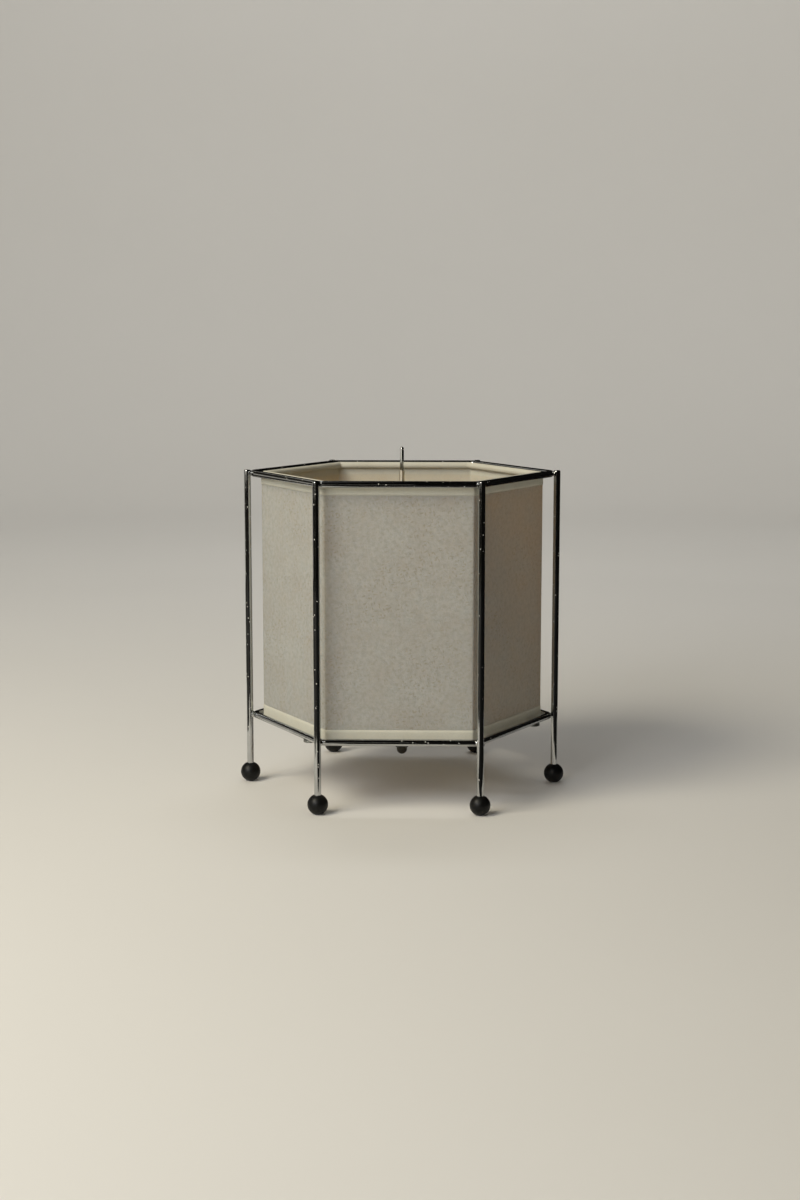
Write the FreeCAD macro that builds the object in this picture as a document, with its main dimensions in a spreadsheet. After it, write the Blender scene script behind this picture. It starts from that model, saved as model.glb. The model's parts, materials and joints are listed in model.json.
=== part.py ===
"""Hexagonal paper table lamp: a chrome rod frame on ball feet with a paper shade standing inside it.

The lamp stands on the plane z = 0 with its axis on z. A flat side of the hexagon faces -Y.
Every size is in millimetres and every angle in degrees.
"""
import FreeCAD, Part
import Sketcher
import os

# Driving dimensions, one cell each
SIZES = {
    # Rod frame
    "leg_circle_radius": 140,
    "leg_diameter": 6,
    "leg_end_round": 1,
    "frame_height": 288,
    "ring_rod_diameter": 6,
    "ring_bend_radius": 8,
    "bottom_ring_height": 62.5,
    "weld_depth": 0.2,
    # Ball feet
    "ball_diameter": 18,
    "ball_flat_diameter": 5,
    "ball_hole_depth": 10,
    "glue_gap": 0.05,
    # Three-armed support under the bottom ring
    "spider_angle": 110,
    "arm_width": 12,
    "arm_thickness": 2,
    "arm_overhang": 2.5,
    "hub_overhang": 2,
    # Bolted stack on the axis
    "bolt_diameter": 6,
    "bolt_clearance": 0.2,
    "bolt_head_width": 10,
    "bolt_head_height": 4,
    "bolt_end_gap": 0.5,
    "nut_width": 10,
    "nut_height": 12,
    "nut_hex_height": 5.5,
    "nut_dome_diameter": 9.5,
    "nut_end_wall": 3,
    "washer_diameter": 14,
    "washer_thickness": 0.8,
    # Terminal cup and what it holds
    "cup_diameter": 40,
    "cup_height": 19,
    "cup_wall": 1.5,
    "cup_floor": 2,
    "cup_bevel": 2.5,
    "terminal_clearance": 0.25,
    "terminal_height": 10,
    "terminal_bore": 8,
    "pocket_depth": 4,
    "inlet_hole_diameter": 10,
    "grommet_bore": 6.5,
    "grommet_lip": 1.5,
    "grommet_lip_thickness": 2,
    "grommet_groove_slack": 1.3,
    # Leads between the terminals, the lampholders and the switch
    "lead_diameter": 5,
    "lead_bend_radius": 6,
    "lead_slack": 0.2,
    "switch_lead_diameter": 4,
    "switch_lead_offset": 9,
    # Lampholders on their bracket
    "holder_offset": 38,
    "bracket_width": 28,
    "bracket_thickness": 2,
    "nipple_diameter": 10,
    "nipple_bore": 7,
    "nipple_drop": 8,
    "nipple_rise": 9,
    "lock_nut_width": 14,
    "lock_nut_height": 4,
    "holder_diameter": 26,
    "holder_height": 43,
    "holder_base": 15,
    "chamber_diameter": 12,
    "chamber_height": 7.5,
    "shell_diameter": 15,
    "shell_wall": 0.4,
    "shell_length": 20,
    "contact_diameter": 6,
    "contact_height": 3.5,
    "contact_gap": 0.3,
    # Bulbs
    "thread_clearance": 0.1,
    "cap_tip_diameter": 5,
    "cap_tip_height": 1.5,
    "cap_cone_height": 5,
    "cap_length": 26,
    "cap_wall": 0.6,
    "bulb_diameter": 45,
    "bulb_height": 78,
    "neck_diameter": 24,
    "neck_insert": 10,
    "glass_wall": 0.8,
    # Push switch and its stem
    "can_diameter": 32,
    "can_height": 34.5,
    "can_wall": 1.2,
    "can_floor": 2,
    "lid_thickness": 2,
    "lid_lip_depth": 4,
    "lid_lip_wall": 1.5,
    "lid_fit": 0.1,
    "switch_diameter": 22,
    "switch_height": 20,
    "switch_floor": 2,
    "switch_roof": 4,
    "switch_chamber_diameter": 11,
    "bush_diameter": 10,
    "bush_height": 9,
    "ring_nut_diameter": 15,
    "ring_nut_height": 3.5,
    "tube_diameter": 4.7,
    "tube_seat_depth": 6,
    "tube_drop": 0.4,
    "push_rod_diameter": 3.5,
    "push_rod_rise": 21.4,
    "running_clearance": 0.08,
    "foot_diameter": 8.4,
    "foot_height": 2,
    "foot_gap": 0.3,
    "spring_diameter": 7.6,
    "spring_wire": 0.8,
    "spring_pitch": 2.2,
    "spring_end_gap": 0.15,
    # Paper shade
    "shade_clearance": 3.6,
    "shade_top_drop": 1,
    "shade_rest_gap": 0.3,
    "paper_thickness": 0.5,
    "hem_height": 12,
    "hem_wire_diameter": 4,
    "hem_wire_bend_radius": 3,
    "hem_slack": 0.5,
}

SIDES = 6
SIDE_ANGLE = 360 / SIDES
HALF_SIDE_ANGLE = SIDE_ANGLE / 2
ARM_COUNT = 3
X_AXIS = FreeCAD.Vector(1, 0, 0)
Y_AXIS = FreeCAD.Vector(0, 1, 0)
Z_AXIS = FreeCAD.Vector(0, 0, 1)
ORIGIN = FreeCAD.Vector(0, 0, 0)
ALONG_X = FreeCAD.Rotation(Y_AXIS, 90)
ALONG_Y = FreeCAD.Rotation(X_AXIS, -90)

doc = FreeCAD.newDocument("paper_table_lamp")
sheet = doc.addObject("Spreadsheet::Sheet", "Sizes")
for row, (alias, size) in enumerate(SIZES.items(), start=1):
    sheet.set(f"A{row}", alias)
    sheet.set(f"B{row}", str(size))
    sheet.setAlias(f"B{row}", alias)
doc.recompute()

pieces = []


def value(formula):
    """The number that a formula of sheet cells gives."""
    return float(sheet.evalExpression(str(formula)))


def bind(thing, **formulas):
    """Ties properties of a document object to formulas of sheet cells."""
    for name, formula in formulas.items():
        thing.setExpression(name, str(formula))
    return thing


def place(thing, x=0, y=0, z=0, turn=None):
    """Ties an object's position, and its turn about the vertical, to formulas."""
    for axis, formula in zip("xyz", (x, y, z)):
        thing.setExpression(f"Placement.Base.{axis}", str(formula))
    if turn is not None:
        thing.setExpression("Placement.Rotation.Angle", str(turn))
    return thing


def cylinder(radius, length, x=0, y=0, z=0, rotation=None):
    thing = doc.addObject("Part::Cylinder", "round_blank")
    if rotation is not None:
        thing.Placement = FreeCAD.Placement(ORIGIN, rotation)
    bind(thing, Radius=radius, Height=length)
    return place(thing, x, y, z)


def box(length, width, height, x=0, y=0, z=0):
    thing = doc.addObject("Part::Box", "flat_blank")
    bind(thing, Length=length, Width=width, Height=height)
    return place(thing, x, y, z)


def cone(low_radius, high_radius, height, z=0):
    thing = doc.addObject("Part::Cone", "cone_blank")
    bind(thing, Radius1=low_radius, Radius2=high_radius, Height=height)
    return place(thing, z=z)


def hexagon_bar(width_across_flats, height, z=0):
    thing = doc.addObject("Part::Prism", "hexagon_blank")
    thing.Polygon = 6
    bind(thing, Circumradius=f"{width_across_flats} / 2 / cos(30)", Height=height)
    return place(thing, z=z)


def fuse(*blanks):
    thing = doc.addObject("Part::MultiFuse", "joined_blank")
    thing.Shapes = list(blanks)
    thing.Refine = True
    return thing


def cut(base, *tools):
    thing = doc.addObject("Part::Cut", "cut_blank")
    thing.Base = base
    thing.Tool = tools[0] if len(tools) == 1 else fuse(*tools)
    thing.Refine = True
    return thing


def keep(thing, label):
    """Names a finished piece and puts it on the list that is written out."""
    thing.Label = label
    pieces.append(thing)
    return thing


def turned(label, corners):
    """A body turned about the vertical: the outline's corners are (radius, height) formulas."""
    body = doc.addObject("PartDesign::Body", label)
    sketch = body.newObject("Sketcher::SketchObject", f"{label}_outline")
    upright = next(plane for plane in body.Origin.OriginFeatures if plane.Role == "XZ_Plane")
    sketch.AttachmentSupport = [(upright, "")]
    sketch.MapMode = "FlatFace"
    points = [FreeCAD.Vector(value(radius), value(height), 0) for radius, height in corners]
    for start, end in zip(points, points[1:] + points[:1]):
        sketch.addGeometry(Part.LineSegment(start, end), False)
    count = len(corners)
    for line in range(count):
        sketch.addConstraint(Sketcher.Constraint("Coincident", line, 2, (line + 1) % count, 1))
    for line, (corner, point) in enumerate(zip(corners, points)):
        for kind, formula, number in zip(("DistanceX", "DistanceY"), corner, point):
            index = sketch.addConstraint(Sketcher.Constraint(kind, -1, 1, line, 1, number))
            sketch.setExpression(f"Constraints[{index}]", str(formula))
    solid = body.newObject("PartDesign::Revolution", f"{label}_turned")
    solid.Profile = sketch
    solid.ReferenceAxis = (sketch, ["V_Axis"])
    solid.Angle = 360
    return keep(body, label)


def hexagon_ring(label, corner_radius, height, rod_diameter, bend_radius):
    """A rod bent to a closed hexagon: six straight bars joined by six bends."""
    bar_length = f"({corner_radius} - 2 * {bend_radius} * tan({HALF_SIDE_ANGLE}))"
    bar_distance = f"({corner_radius} * cos({HALF_SIDE_ANGLE}))"
    bend_distance = f"({corner_radius} - {bend_radius} / cos({HALF_SIDE_ANGLE}))"
    stretches = []
    for side in range(SIDES):
        corner = side * SIDE_ANGLE
        middle = corner + HALF_SIDE_ANGLE
        turn = FreeCAD.Rotation(Z_AXIS, middle)
        along = turn.multVec(Y_AXIS)
        stretches.append(cylinder(
            f"{rod_diameter} / 2", bar_length,
            x=f"{bar_distance} * cos({middle}) - {bar_length} / 2 * {along.x}",
            y=f"{bar_distance} * sin({middle}) - {bar_length} / 2 * {along.y}",
            z=height, rotation=turn * ALONG_Y))
        bend = doc.addObject("Part::Torus", "bend_blank")
        bend.Angle3 = SIDE_ANGLE
        bend.Placement = FreeCAD.Placement(ORIGIN, FreeCAD.Rotation(Z_AXIS, corner - HALF_SIDE_ANGLE))
        bind(bend, Radius1=bend_radius, Radius2=f"{rod_diameter} / 2")
        place(bend, x=f"{bend_distance} * cos({corner})", y=f"{bend_distance} * sin({corner})", z=height)
        stretches.append(bend)
    return keep(fuse(*stretches), label)


# Heights and radii that several pieces share
ring_rod_radius = "(Sizes.ring_rod_diameter / 2)"
leg_radius = "(Sizes.leg_diameter / 2)"
top_ring_z = f"(Sizes.frame_height - {ring_rod_radius})"
bend_inset = f"(Sizes.ring_bend_radius * (1 / cos({HALF_SIDE_ANGLE}) - 1))"
ring_corner_radius = (
    f"(Sizes.leg_circle_radius - {leg_radius} - {ring_rod_radius} + Sizes.weld_depth + {bend_inset})")
ball_radius = "(Sizes.ball_diameter / 2)"
ball_centre_z = f"sqrt({ball_radius}^2 - (Sizes.ball_flat_diameter / 2)^2)"
leg_bottom_z = f"({ball_centre_z} + {ball_radius} - Sizes.ball_hole_depth)"
ring_bar_distance = f"({ring_corner_radius} * cos({HALF_SIDE_ANGLE}))"
stack_turn = "(Sizes.spider_angle - 90)"
arm_top_z = f"(Sizes.bottom_ring_height - {ring_rod_radius} + Sizes.weld_depth)"
arm_bottom_z = f"({arm_top_z} - Sizes.arm_thickness)"
bracket_top_z = f"({arm_top_z} + Sizes.bracket_thickness)"
cup_bottom_z = f"({arm_bottom_z} - Sizes.cup_height)"
cup_inside_z = f"({cup_bottom_z} + Sizes.cup_floor)"
lead_z = f"({cup_inside_z} + Sizes.terminal_height / 2)"
inlet_z = f"(({cup_inside_z} + {arm_bottom_z}) / 2)"
washer_bottom_z = f"({cup_bottom_z} - Sizes.washer_thickness)"
nut_tip_z = f"({washer_bottom_z} - Sizes.nut_height)"
can_inside_z = f"({bracket_top_z} + Sizes.can_floor)"
lid_bottom_z = f"({bracket_top_z} + Sizes.can_height)"
bolt_hole_radius = "(Sizes.bolt_diameter / 2 + Sizes.bolt_clearance)"
switch_lead_radius = "(Sizes.switch_lead_diameter / 2)"
switch_lead_hole_radius = f"({switch_lead_radius} + Sizes.lead_slack)"

# Rod frame: six legs with rounded tops, and two rings welded inside them
for number in range(1, SIDES + 1):
    corner = (number - 1) * SIDE_ANGLE
    leg = doc.addObject("PartDesign::Body", f"leg_{number}")
    section = leg.newObject("Sketcher::SketchObject", f"leg_{number}_section")
    ground = next(plane for plane in leg.Origin.OriginFeatures if plane.Role == "XY_Plane")
    section.AttachmentSupport = [(ground, "")]
    section.MapMode = "FlatFace"
    section.addGeometry(Part.Circle(ORIGIN, Z_AXIS, value(leg_radius)), False)
    section.addConstraint(Sketcher.Constraint("Coincident", 0, 3, -1, 1))
    radius_index = section.addConstraint(Sketcher.Constraint("Radius", 0, value(leg_radius)))
    section.setExpression(f"Constraints[{radius_index}]", leg_radius)
    rod = leg.newObject("PartDesign::Pad", f"leg_{number}_rod")
    rod.Profile = section
    bind(rod, Length=f"Sizes.frame_height - {leg_bottom_z}")
    doc.recompute()
    top_edge = max(range(len(rod.Shape.Edges)), key=lambda i: rod.Shape.Edges[i].CenterOfMass.z)
    rounded = leg.newObject("PartDesign::Fillet", f"leg_{number}_round")
    rounded.Base = (rod, [f"Edge{top_edge + 1}"])
    bind(rounded, Radius="Sizes.leg_end_round")
    place(leg, x=f"Sizes.leg_circle_radius * cos({corner})", y=f"Sizes.leg_circle_radius * sin({corner})",
          z=leg_bottom_z)
    keep(leg, f"leg_{number}")

hexagon_ring("top_ring", ring_corner_radius, top_ring_z, "Sizes.ring_rod_diameter", "Sizes.ring_bend_radius")
hexagon_ring("bottom_ring", ring_corner_radius, "Sizes.bottom_ring_height", "Sizes.ring_rod_diameter",
             "Sizes.ring_bend_radius")

# Ball feet: drilled from above for the leg, with a small flat below to stand on
for number in range(1, SIDES + 1):
    corner = (number - 1) * SIDE_ANGLE
    ball = doc.addObject("Part::Sphere", "ball_blank")
    bind(ball, Radius=ball_radius, Angle1="-acos(Sizes.ball_flat_diameter / Sizes.ball_diameter)")
    place(ball, z=ball_centre_z)
    socket = cylinder(f"{leg_radius} + Sizes.glue_gap", "Sizes.ball_diameter", z=leg_bottom_z)
    foot = cut(ball, socket)
    place(foot, x=f"Sizes.leg_circle_radius * cos({corner})", y=f"Sizes.leg_circle_radius * sin({corner})")
    keep(foot, f"ball_foot_{number}")

# Support: a hub plate and three strips that pass under the bottom ring and are welded to it
bar_slant = f"(mod(Sizes.spider_angle; {SIDE_ANGLE}) - {HALF_SIDE_ANGLE})"
bar_crossing = f"({ring_bar_distance} / cos({bar_slant}))"
hub_radius = "(Sizes.cup_diameter / 2 + Sizes.hub_overhang)"
arm_start = f"({hub_radius} - Sizes.weld_depth)"
arm_end_centre = f"({bar_crossing} + Sizes.arm_overhang - Sizes.arm_width / 2)"
for number in range(1, ARM_COUNT + 1):
    strip = box(f"{arm_end_centre} - {arm_start}", "Sizes.arm_width", "Sizes.arm_thickness",
                x=arm_start, y="-Sizes.arm_width / 2", z=arm_bottom_z)
    tip = cylinder("Sizes.arm_width / 2", "Sizes.arm_thickness", x=arm_end_centre, z=arm_bottom_z)
    arm = fuse(strip, tip)
    place(arm, turn=f"Sizes.spider_angle + {(number - 1) * 360 / ARM_COUNT}")
    keep(arm, f"spider_arm_{number}")

hub_disc = cylinder(hub_radius, "Sizes.arm_thickness", z=arm_bottom_z)
hub_bolt_hole = cylinder(bolt_hole_radius, "Sizes.arm_thickness", z=arm_bottom_z)
hub_lead_hole = cylinder(switch_lead_hole_radius, "Sizes.arm_thickness", y="-Sizes.switch_lead_offset",
                         z=arm_bottom_z)
place(keep(cut(hub_disc, hub_bolt_hole, hub_lead_hole), "hub_plate"), turn=stack_turn)

# Bolt, cap nut and washer that tie the stack on the axis together
bolt_end_z = f"({nut_tip_z} + Sizes.nut_end_wall + Sizes.bolt_end_gap)"
bolt_head = hexagon_bar("Sizes.bolt_head_width", "Sizes.bolt_head_height", z=can_inside_z)
bolt_shank = cylinder("Sizes.bolt_diameter / 2", f"{can_inside_z} - {bolt_end_z}", z=bolt_end_z)
keep(fuse(bolt_head, bolt_shank), "tie_bolt")

dome_radius = "(Sizes.nut_dome_diameter / 2)"
nut_dome = doc.addObject("Part::Sphere", "dome_blank")
bind(nut_dome, Radius=dome_radius)
place(nut_dome, z=f"{nut_tip_z} + {dome_radius}")
nut_neck = cylinder(dome_radius, f"Sizes.nut_height - {dome_radius}", z=f"{nut_tip_z} + {dome_radius}")
nut_hexagon = hexagon_bar("Sizes.nut_width", "Sizes.nut_hex_height",
                          z=f"{washer_bottom_z} - Sizes.nut_hex_height")
nut_bore = cylinder("Sizes.bolt_diameter / 2 + Sizes.glue_gap", "Sizes.nut_height",
                    z=f"{nut_tip_z} + Sizes.nut_end_wall")
keep(cut(fuse(nut_dome, nut_neck, nut_hexagon), nut_bore), "cap_nut")

place(turned("cup_washer", [
    (bolt_hole_radius, 0),
    ("Sizes.washer_diameter / 2", 0),
    ("Sizes.washer_diameter / 2", "Sizes.washer_thickness"),
    (bolt_hole_radius, "Sizes.washer_thickness"),
]), z=washer_bottom_z)

# Terminal cup under the hub, its terminal ring, and the grommet where the mains lead comes in
cup_radius = "(Sizes.cup_diameter / 2)"
cup_inner_radius = f"({cup_radius} - Sizes.cup_wall)"
lead_hole_radius = "(Sizes.lead_diameter / 2 + Sizes.lead_slack)"
cup_outside = fuse(
    cone(f"{cup_radius} - Sizes.cup_bevel", cup_radius, "Sizes.cup_bevel", z=cup_bottom_z),
    cylinder(cup_radius, "Sizes.cup_height - Sizes.cup_bevel", z=f"{cup_bottom_z} + Sizes.cup_bevel"))
cup_inside_bevel = "(Sizes.cup_bevel - Sizes.cup_floor / 2)"
cup_inside = fuse(
    cone(f"{cup_inner_radius} - {cup_inside_bevel}", cup_inner_radius, cup_inside_bevel, z=cup_inside_z),
    cylinder(cup_inner_radius, "Sizes.cup_height", z=f"{cup_inside_z} + {cup_inside_bevel}"))
cup_bolt_hole = cylinder(bolt_hole_radius, "2 * Sizes.cup_floor", z=f"{cup_bottom_z} - Sizes.cup_floor / 2")
cup_lead_hole = cylinder(lead_hole_radius, "Sizes.cup_diameter + 2 * Sizes.cup_wall",
                         x=f"-{cup_radius} - Sizes.cup_wall", z=lead_z, rotation=ALONG_X)
cup_inlet_hole = cylinder("Sizes.inlet_hole_diameter / 2", f"{cup_radius} + Sizes.cup_wall", z=inlet_z,
                          rotation=ALONG_Y)
place(keep(cut(cup_outside, cup_inside, cup_bolt_hole, cup_lead_hole, cup_inlet_hole), "terminal_cup"),
      turn=stack_turn)

groove_radius = "(Sizes.inlet_hole_diameter / 2 - Sizes.glue_gap)"
groove_width = "(Sizes.cup_wall + Sizes.grommet_groove_slack)"
groove_start = f"({cup_radius} - Sizes.cup_wall - Sizes.grommet_groove_slack + Sizes.glue_gap)"
grommet_start = f"({groove_start} - Sizes.grommet_lip_thickness)"
lip_radius = f"({groove_radius} + Sizes.grommet_lip)"
terminal_radius = f"({grommet_start} - Sizes.terminal_clearance)"
terminal_disc = cylinder(terminal_radius, "Sizes.terminal_height", z=cup_inside_z)
terminal_bore = cylinder("Sizes.terminal_bore / 2", "Sizes.terminal_height", z=cup_inside_z)
lead_end = f"({terminal_radius} - Sizes.pocket_depth)"
terminal_pockets = [
    cylinder(lead_hole_radius, "2 * Sizes.pocket_depth", x=lead_end, z=lead_z, rotation=ALONG_X),
    cylinder(lead_hole_radius, "2 * Sizes.pocket_depth", x=f"-{lead_end} - 2 * Sizes.pocket_depth", z=lead_z,
             rotation=ALONG_X),
]
switch_lead_bottom_z = f"({cup_inside_z} + Sizes.terminal_height - Sizes.pocket_depth)"
switch_pocket = cylinder(switch_lead_hole_radius, "2 * Sizes.pocket_depth", y="-Sizes.switch_lead_offset",
                         z=switch_lead_bottom_z)
place(keep(cut(terminal_disc, terminal_bore, switch_pocket, *terminal_pockets), "terminal_ring"),
      turn=stack_turn)

grommet_neck = cylinder(groove_radius, f"{groove_width} + 2 * Sizes.grommet_lip_thickness",
                        y=grommet_start, z=inlet_z, rotation=ALONG_Y)
grommet_inner_lip = cylinder(lip_radius, "Sizes.grommet_lip_thickness",
                             y=grommet_start, z=inlet_z, rotation=ALONG_Y)
grommet_outer_lip = cylinder(lip_radius, "Sizes.grommet_lip_thickness", y=f"{groove_start} + {groove_width}",
                             z=inlet_z, rotation=ALONG_Y)
grommet_hole = cylinder("Sizes.grommet_bore / 2", "Sizes.cup_diameter", z=inlet_z, rotation=ALONG_Y)
place(keep(cut(fuse(grommet_neck, grommet_inner_lip, grommet_outer_lip), grommet_hole), "inlet_grommet"),
      turn=stack_turn)

# Bracket across the hub that carries the two lampholders
bracket_bar = box("2 * Sizes.holder_offset", "Sizes.bracket_width", "Sizes.bracket_thickness",
                  x="-Sizes.holder_offset", y="-Sizes.bracket_width / 2", z=arm_top_z)
bracket_ends = [
    cylinder("Sizes.bracket_width / 2", "Sizes.bracket_thickness", x=f"{side} * Sizes.holder_offset",
             z=arm_top_z)
    for side in (-1, 1)]
nipple_hole_radius = "(Sizes.nipple_diameter / 2 + Sizes.glue_gap)"
bracket_holes = [
    cylinder(nipple_hole_radius, "Sizes.bracket_thickness", x=f"{side} * Sizes.holder_offset", z=arm_top_z)
    for side in (-1, 1)]
bracket_holes.append(cylinder(bolt_hole_radius, "Sizes.bracket_thickness", z=arm_top_z))
bracket_holes.append(cylinder(switch_lead_hole_radius, "Sizes.bracket_thickness",
                              y="-Sizes.switch_lead_offset", z=arm_top_z))
place(keep(cut(fuse(bracket_bar, *bracket_ends), *bracket_holes), "holder_bracket"), turn=stack_turn)

# Two lampholders, each with its nipple, brass shell, contact, lead and bulb
nipple_radius = "(Sizes.nipple_diameter / 2)"
nipple_bore_radius = "(Sizes.nipple_bore / 2)"
nipple_bottom_z = f"({arm_top_z} - Sizes.nipple_drop)"
nipple_length = "(Sizes.nipple_drop + Sizes.bracket_thickness + Sizes.nipple_rise)"
holder_radius = "(Sizes.holder_diameter / 2)"
shell_radius = "(Sizes.shell_diameter / 2)"
shell_inner_radius = f"({shell_radius} - Sizes.shell_wall)"
ledge_height = "(Sizes.holder_base + Sizes.chamber_height)"
cap_radius = f"({shell_inner_radius} - Sizes.thread_clearance)"
cap_inner_radius = f"({cap_radius} - Sizes.cap_wall)"
bulb_radius = "(Sizes.bulb_diameter / 2)"
bulb_bottom_z = (
    f"({bracket_top_z} + Sizes.holder_base + Sizes.contact_height + Sizes.contact_gap)")
bulb_centre_z = f"({bulb_bottom_z} + Sizes.bulb_height - {bulb_radius})"
neck_bottom_radius = f"({cap_inner_radius} - Sizes.glue_gap)"
throat_radius = f"({neck_bottom_radius} - Sizes.glass_wall)"
cap_top_z = f"({bulb_bottom_z} + Sizes.cap_length)"
neck_bottom_z = f"({cap_top_z} - Sizes.neck_insert)"
neck_top_z = f"({bulb_centre_z} - sqrt({bulb_radius}^2 - (Sizes.neck_diameter / 2)^2))"
lead_radius = "(Sizes.lead_diameter / 2)"
lead_bend_z = f"({lead_z} + Sizes.lead_bend_radius)"
lead_bend_x = "(Sizes.holder_offset - Sizes.lead_bend_radius)"
lead_top_z = f"({arm_top_z} + Sizes.bracket_thickness)"
lead_bend_turn = FreeCAD.Rotation(X_AXIS, 90) * FreeCAD.Rotation(Z_AXIS, -90)

lock_nuts = []
contacts = []
for side, half_turn in (("right", 0), ("left", 180)):
    direction = f"({stack_turn} + {half_turn})"
    seat_x = f"Sizes.holder_offset * cos({direction})"
    seat_y = f"Sizes.holder_offset * sin({direction})"

    place(turned(f"nipple_{side}", [
        (nipple_bore_radius, 0),
        (nipple_radius, 0),
        (nipple_radius, nipple_length),
        (nipple_bore_radius, nipple_length),
    ]), x=seat_x, y=seat_y, z=nipple_bottom_z)

    nut_blank = hexagon_bar("Sizes.lock_nut_width", "Sizes.lock_nut_height")
    nut_hole = cylinder(nipple_hole_radius, "Sizes.lock_nut_height")
    lock_nuts.append(place(cut(nut_blank, nut_hole), x=seat_x, y=seat_y,
                           z=f"{arm_top_z} - Sizes.lock_nut_height"))

    place(turned(f"lampholder_{side}", [
        (nipple_hole_radius, 0),
        (holder_radius, 0),
        (holder_radius, "Sizes.holder_height"),
        (f"{shell_radius} + Sizes.glue_gap", "Sizes.holder_height"),
        (f"{shell_radius} + Sizes.glue_gap", ledge_height),
        ("Sizes.chamber_diameter / 2", ledge_height),
        ("Sizes.chamber_diameter / 2", "Sizes.holder_base"),
        ("Sizes.contact_diameter / 4", "Sizes.holder_base"),
        ("Sizes.contact_diameter / 4", "Sizes.nipple_rise"),
        (nipple_hole_radius, "Sizes.nipple_rise"),
    ]), x=seat_x, y=seat_y, z=bracket_top_z)

    place(turned(f"screw_shell_{side}", [
        (shell_inner_radius, 0),
        (shell_radius, 0),
        (shell_radius, "Sizes.shell_length"),
        (shell_inner_radius, "Sizes.shell_length"),
    ]), x=seat_x, y=seat_y, z=f"{bracket_top_z} + {ledge_height}")

    contacts.append(cone("Sizes.contact_diameter / 2", "Sizes.contact_diameter / 4", "Sizes.contact_height"))
    place(contacts[-1], x=seat_x, y=seat_y, z=f"{bracket_top_z} + Sizes.holder_base")

    lead_drop = cylinder(lead_radius, f"{lead_top_z} - {lead_bend_z}", x="Sizes.holder_offset", z=lead_bend_z)
    lead_bend = doc.addObject("Part::Torus", "bend_blank")
    lead_bend.Angle3 = 90
    lead_bend.Placement = FreeCAD.Placement(ORIGIN, lead_bend_turn)
    bind(lead_bend, Radius1="Sizes.lead_bend_radius", Radius2=lead_radius)
    place(lead_bend, x=lead_bend_x, z=lead_bend_z)
    lead_run = cylinder(lead_radius, f"{lead_bend_x} - {lead_end} - Sizes.lead_slack",
                        x=f"{lead_end} + Sizes.lead_slack", z=lead_z, rotation=ALONG_X)
    place(keep(fuse(lead_drop, lead_bend, lead_run), f"lamp_lead_{side}"), turn=direction)

    place(turned(f"bulb_cap_{side}", [
        (0, 0),
        ("Sizes.cap_tip_diameter / 2", 0),
        ("Sizes.cap_tip_diameter / 2", "Sizes.cap_tip_height"),
        (cap_radius, "Sizes.cap_tip_height + Sizes.cap_cone_height"),
        (cap_radius, "Sizes.cap_length"),
        (cap_inner_radius, "Sizes.cap_length"),
        (cap_inner_radius, "Sizes.cap_length - Sizes.neck_insert"),
        (0, "Sizes.cap_length - Sizes.neck_insert"),
    ]), x=seat_x, y=seat_y, z=bulb_bottom_z)

    globe = doc.addObject("Part::Sphere", "globe_blank")
    bind(globe, Radius=bulb_radius)
    place(globe, z=bulb_centre_z)
    hollow = doc.addObject("Part::Sphere", "globe_blank")
    bind(hollow, Radius=f"{bulb_radius} - Sizes.glass_wall")
    place(hollow, z=bulb_centre_z)
    neck = fuse(
        cylinder(neck_bottom_radius, "Sizes.neck_insert", z=neck_bottom_z),
        cone(neck_bottom_radius, "Sizes.neck_diameter / 2", f"{neck_top_z} - {cap_top_z}", z=cap_top_z))
    throat = fuse(
        cylinder(throat_radius, "Sizes.neck_insert", z=neck_bottom_z),
        cone(throat_radius, "Sizes.neck_diameter / 2 - Sizes.glass_wall", f"{neck_top_z} - {cap_top_z}",
             z=cap_top_z))
    place(keep(cut(fuse(globe, neck), fuse(hollow, throat)), f"bulb_glass_{side}"), x=seat_x, y=seat_y)

keep(fuse(*lock_nuts), "lampholder_nuts")
keep(fuse(*contacts), "lampholder_contacts")

# Push switch: a can on the bracket, its lid, and the switch that hangs from the lid
can_radius = "(Sizes.can_diameter / 2)"
can_inner_radius = f"({can_radius} - Sizes.can_wall)"
can_outside = cylinder(can_radius, "Sizes.can_height", z=bracket_top_z)
can_inside = cylinder(can_inner_radius, "Sizes.can_height", z=can_inside_z)
can_bolt_hole = cylinder(bolt_hole_radius, "2 * Sizes.can_floor", z=f"{bracket_top_z} - Sizes.can_floor / 2")
can_lead_hole = cylinder(switch_lead_hole_radius, "2 * Sizes.can_floor", y="-Sizes.switch_lead_offset",
                         z=f"{bracket_top_z} - Sizes.can_floor / 2")
place(keep(cut(can_outside, can_inside, can_bolt_hole, can_lead_hole), "switch_can"), turn=stack_turn)

bush_radius = "(Sizes.bush_diameter / 2)"
bush_hole_radius = f"({bush_radius} + Sizes.lid_fit)"
lip_outer_radius = f"({can_inner_radius} - Sizes.lid_fit)"
lip_inner_radius = f"({lip_outer_radius} - Sizes.lid_lip_wall)"
lid_top = "(Sizes.lid_lip_depth + Sizes.lid_thickness)"
place(turned("switch_lid", [
    (bush_hole_radius, "Sizes.lid_lip_depth"),
    (lip_inner_radius, "Sizes.lid_lip_depth"),
    (lip_inner_radius, 0),
    (lip_outer_radius, 0),
    (lip_outer_radius, "Sizes.lid_lip_depth"),
    (can_radius, "Sizes.lid_lip_depth"),
    (can_radius, lid_top),
    (bush_hole_radius, lid_top),
]), z=f"{lid_bottom_z} - Sizes.lid_lip_depth")

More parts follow.
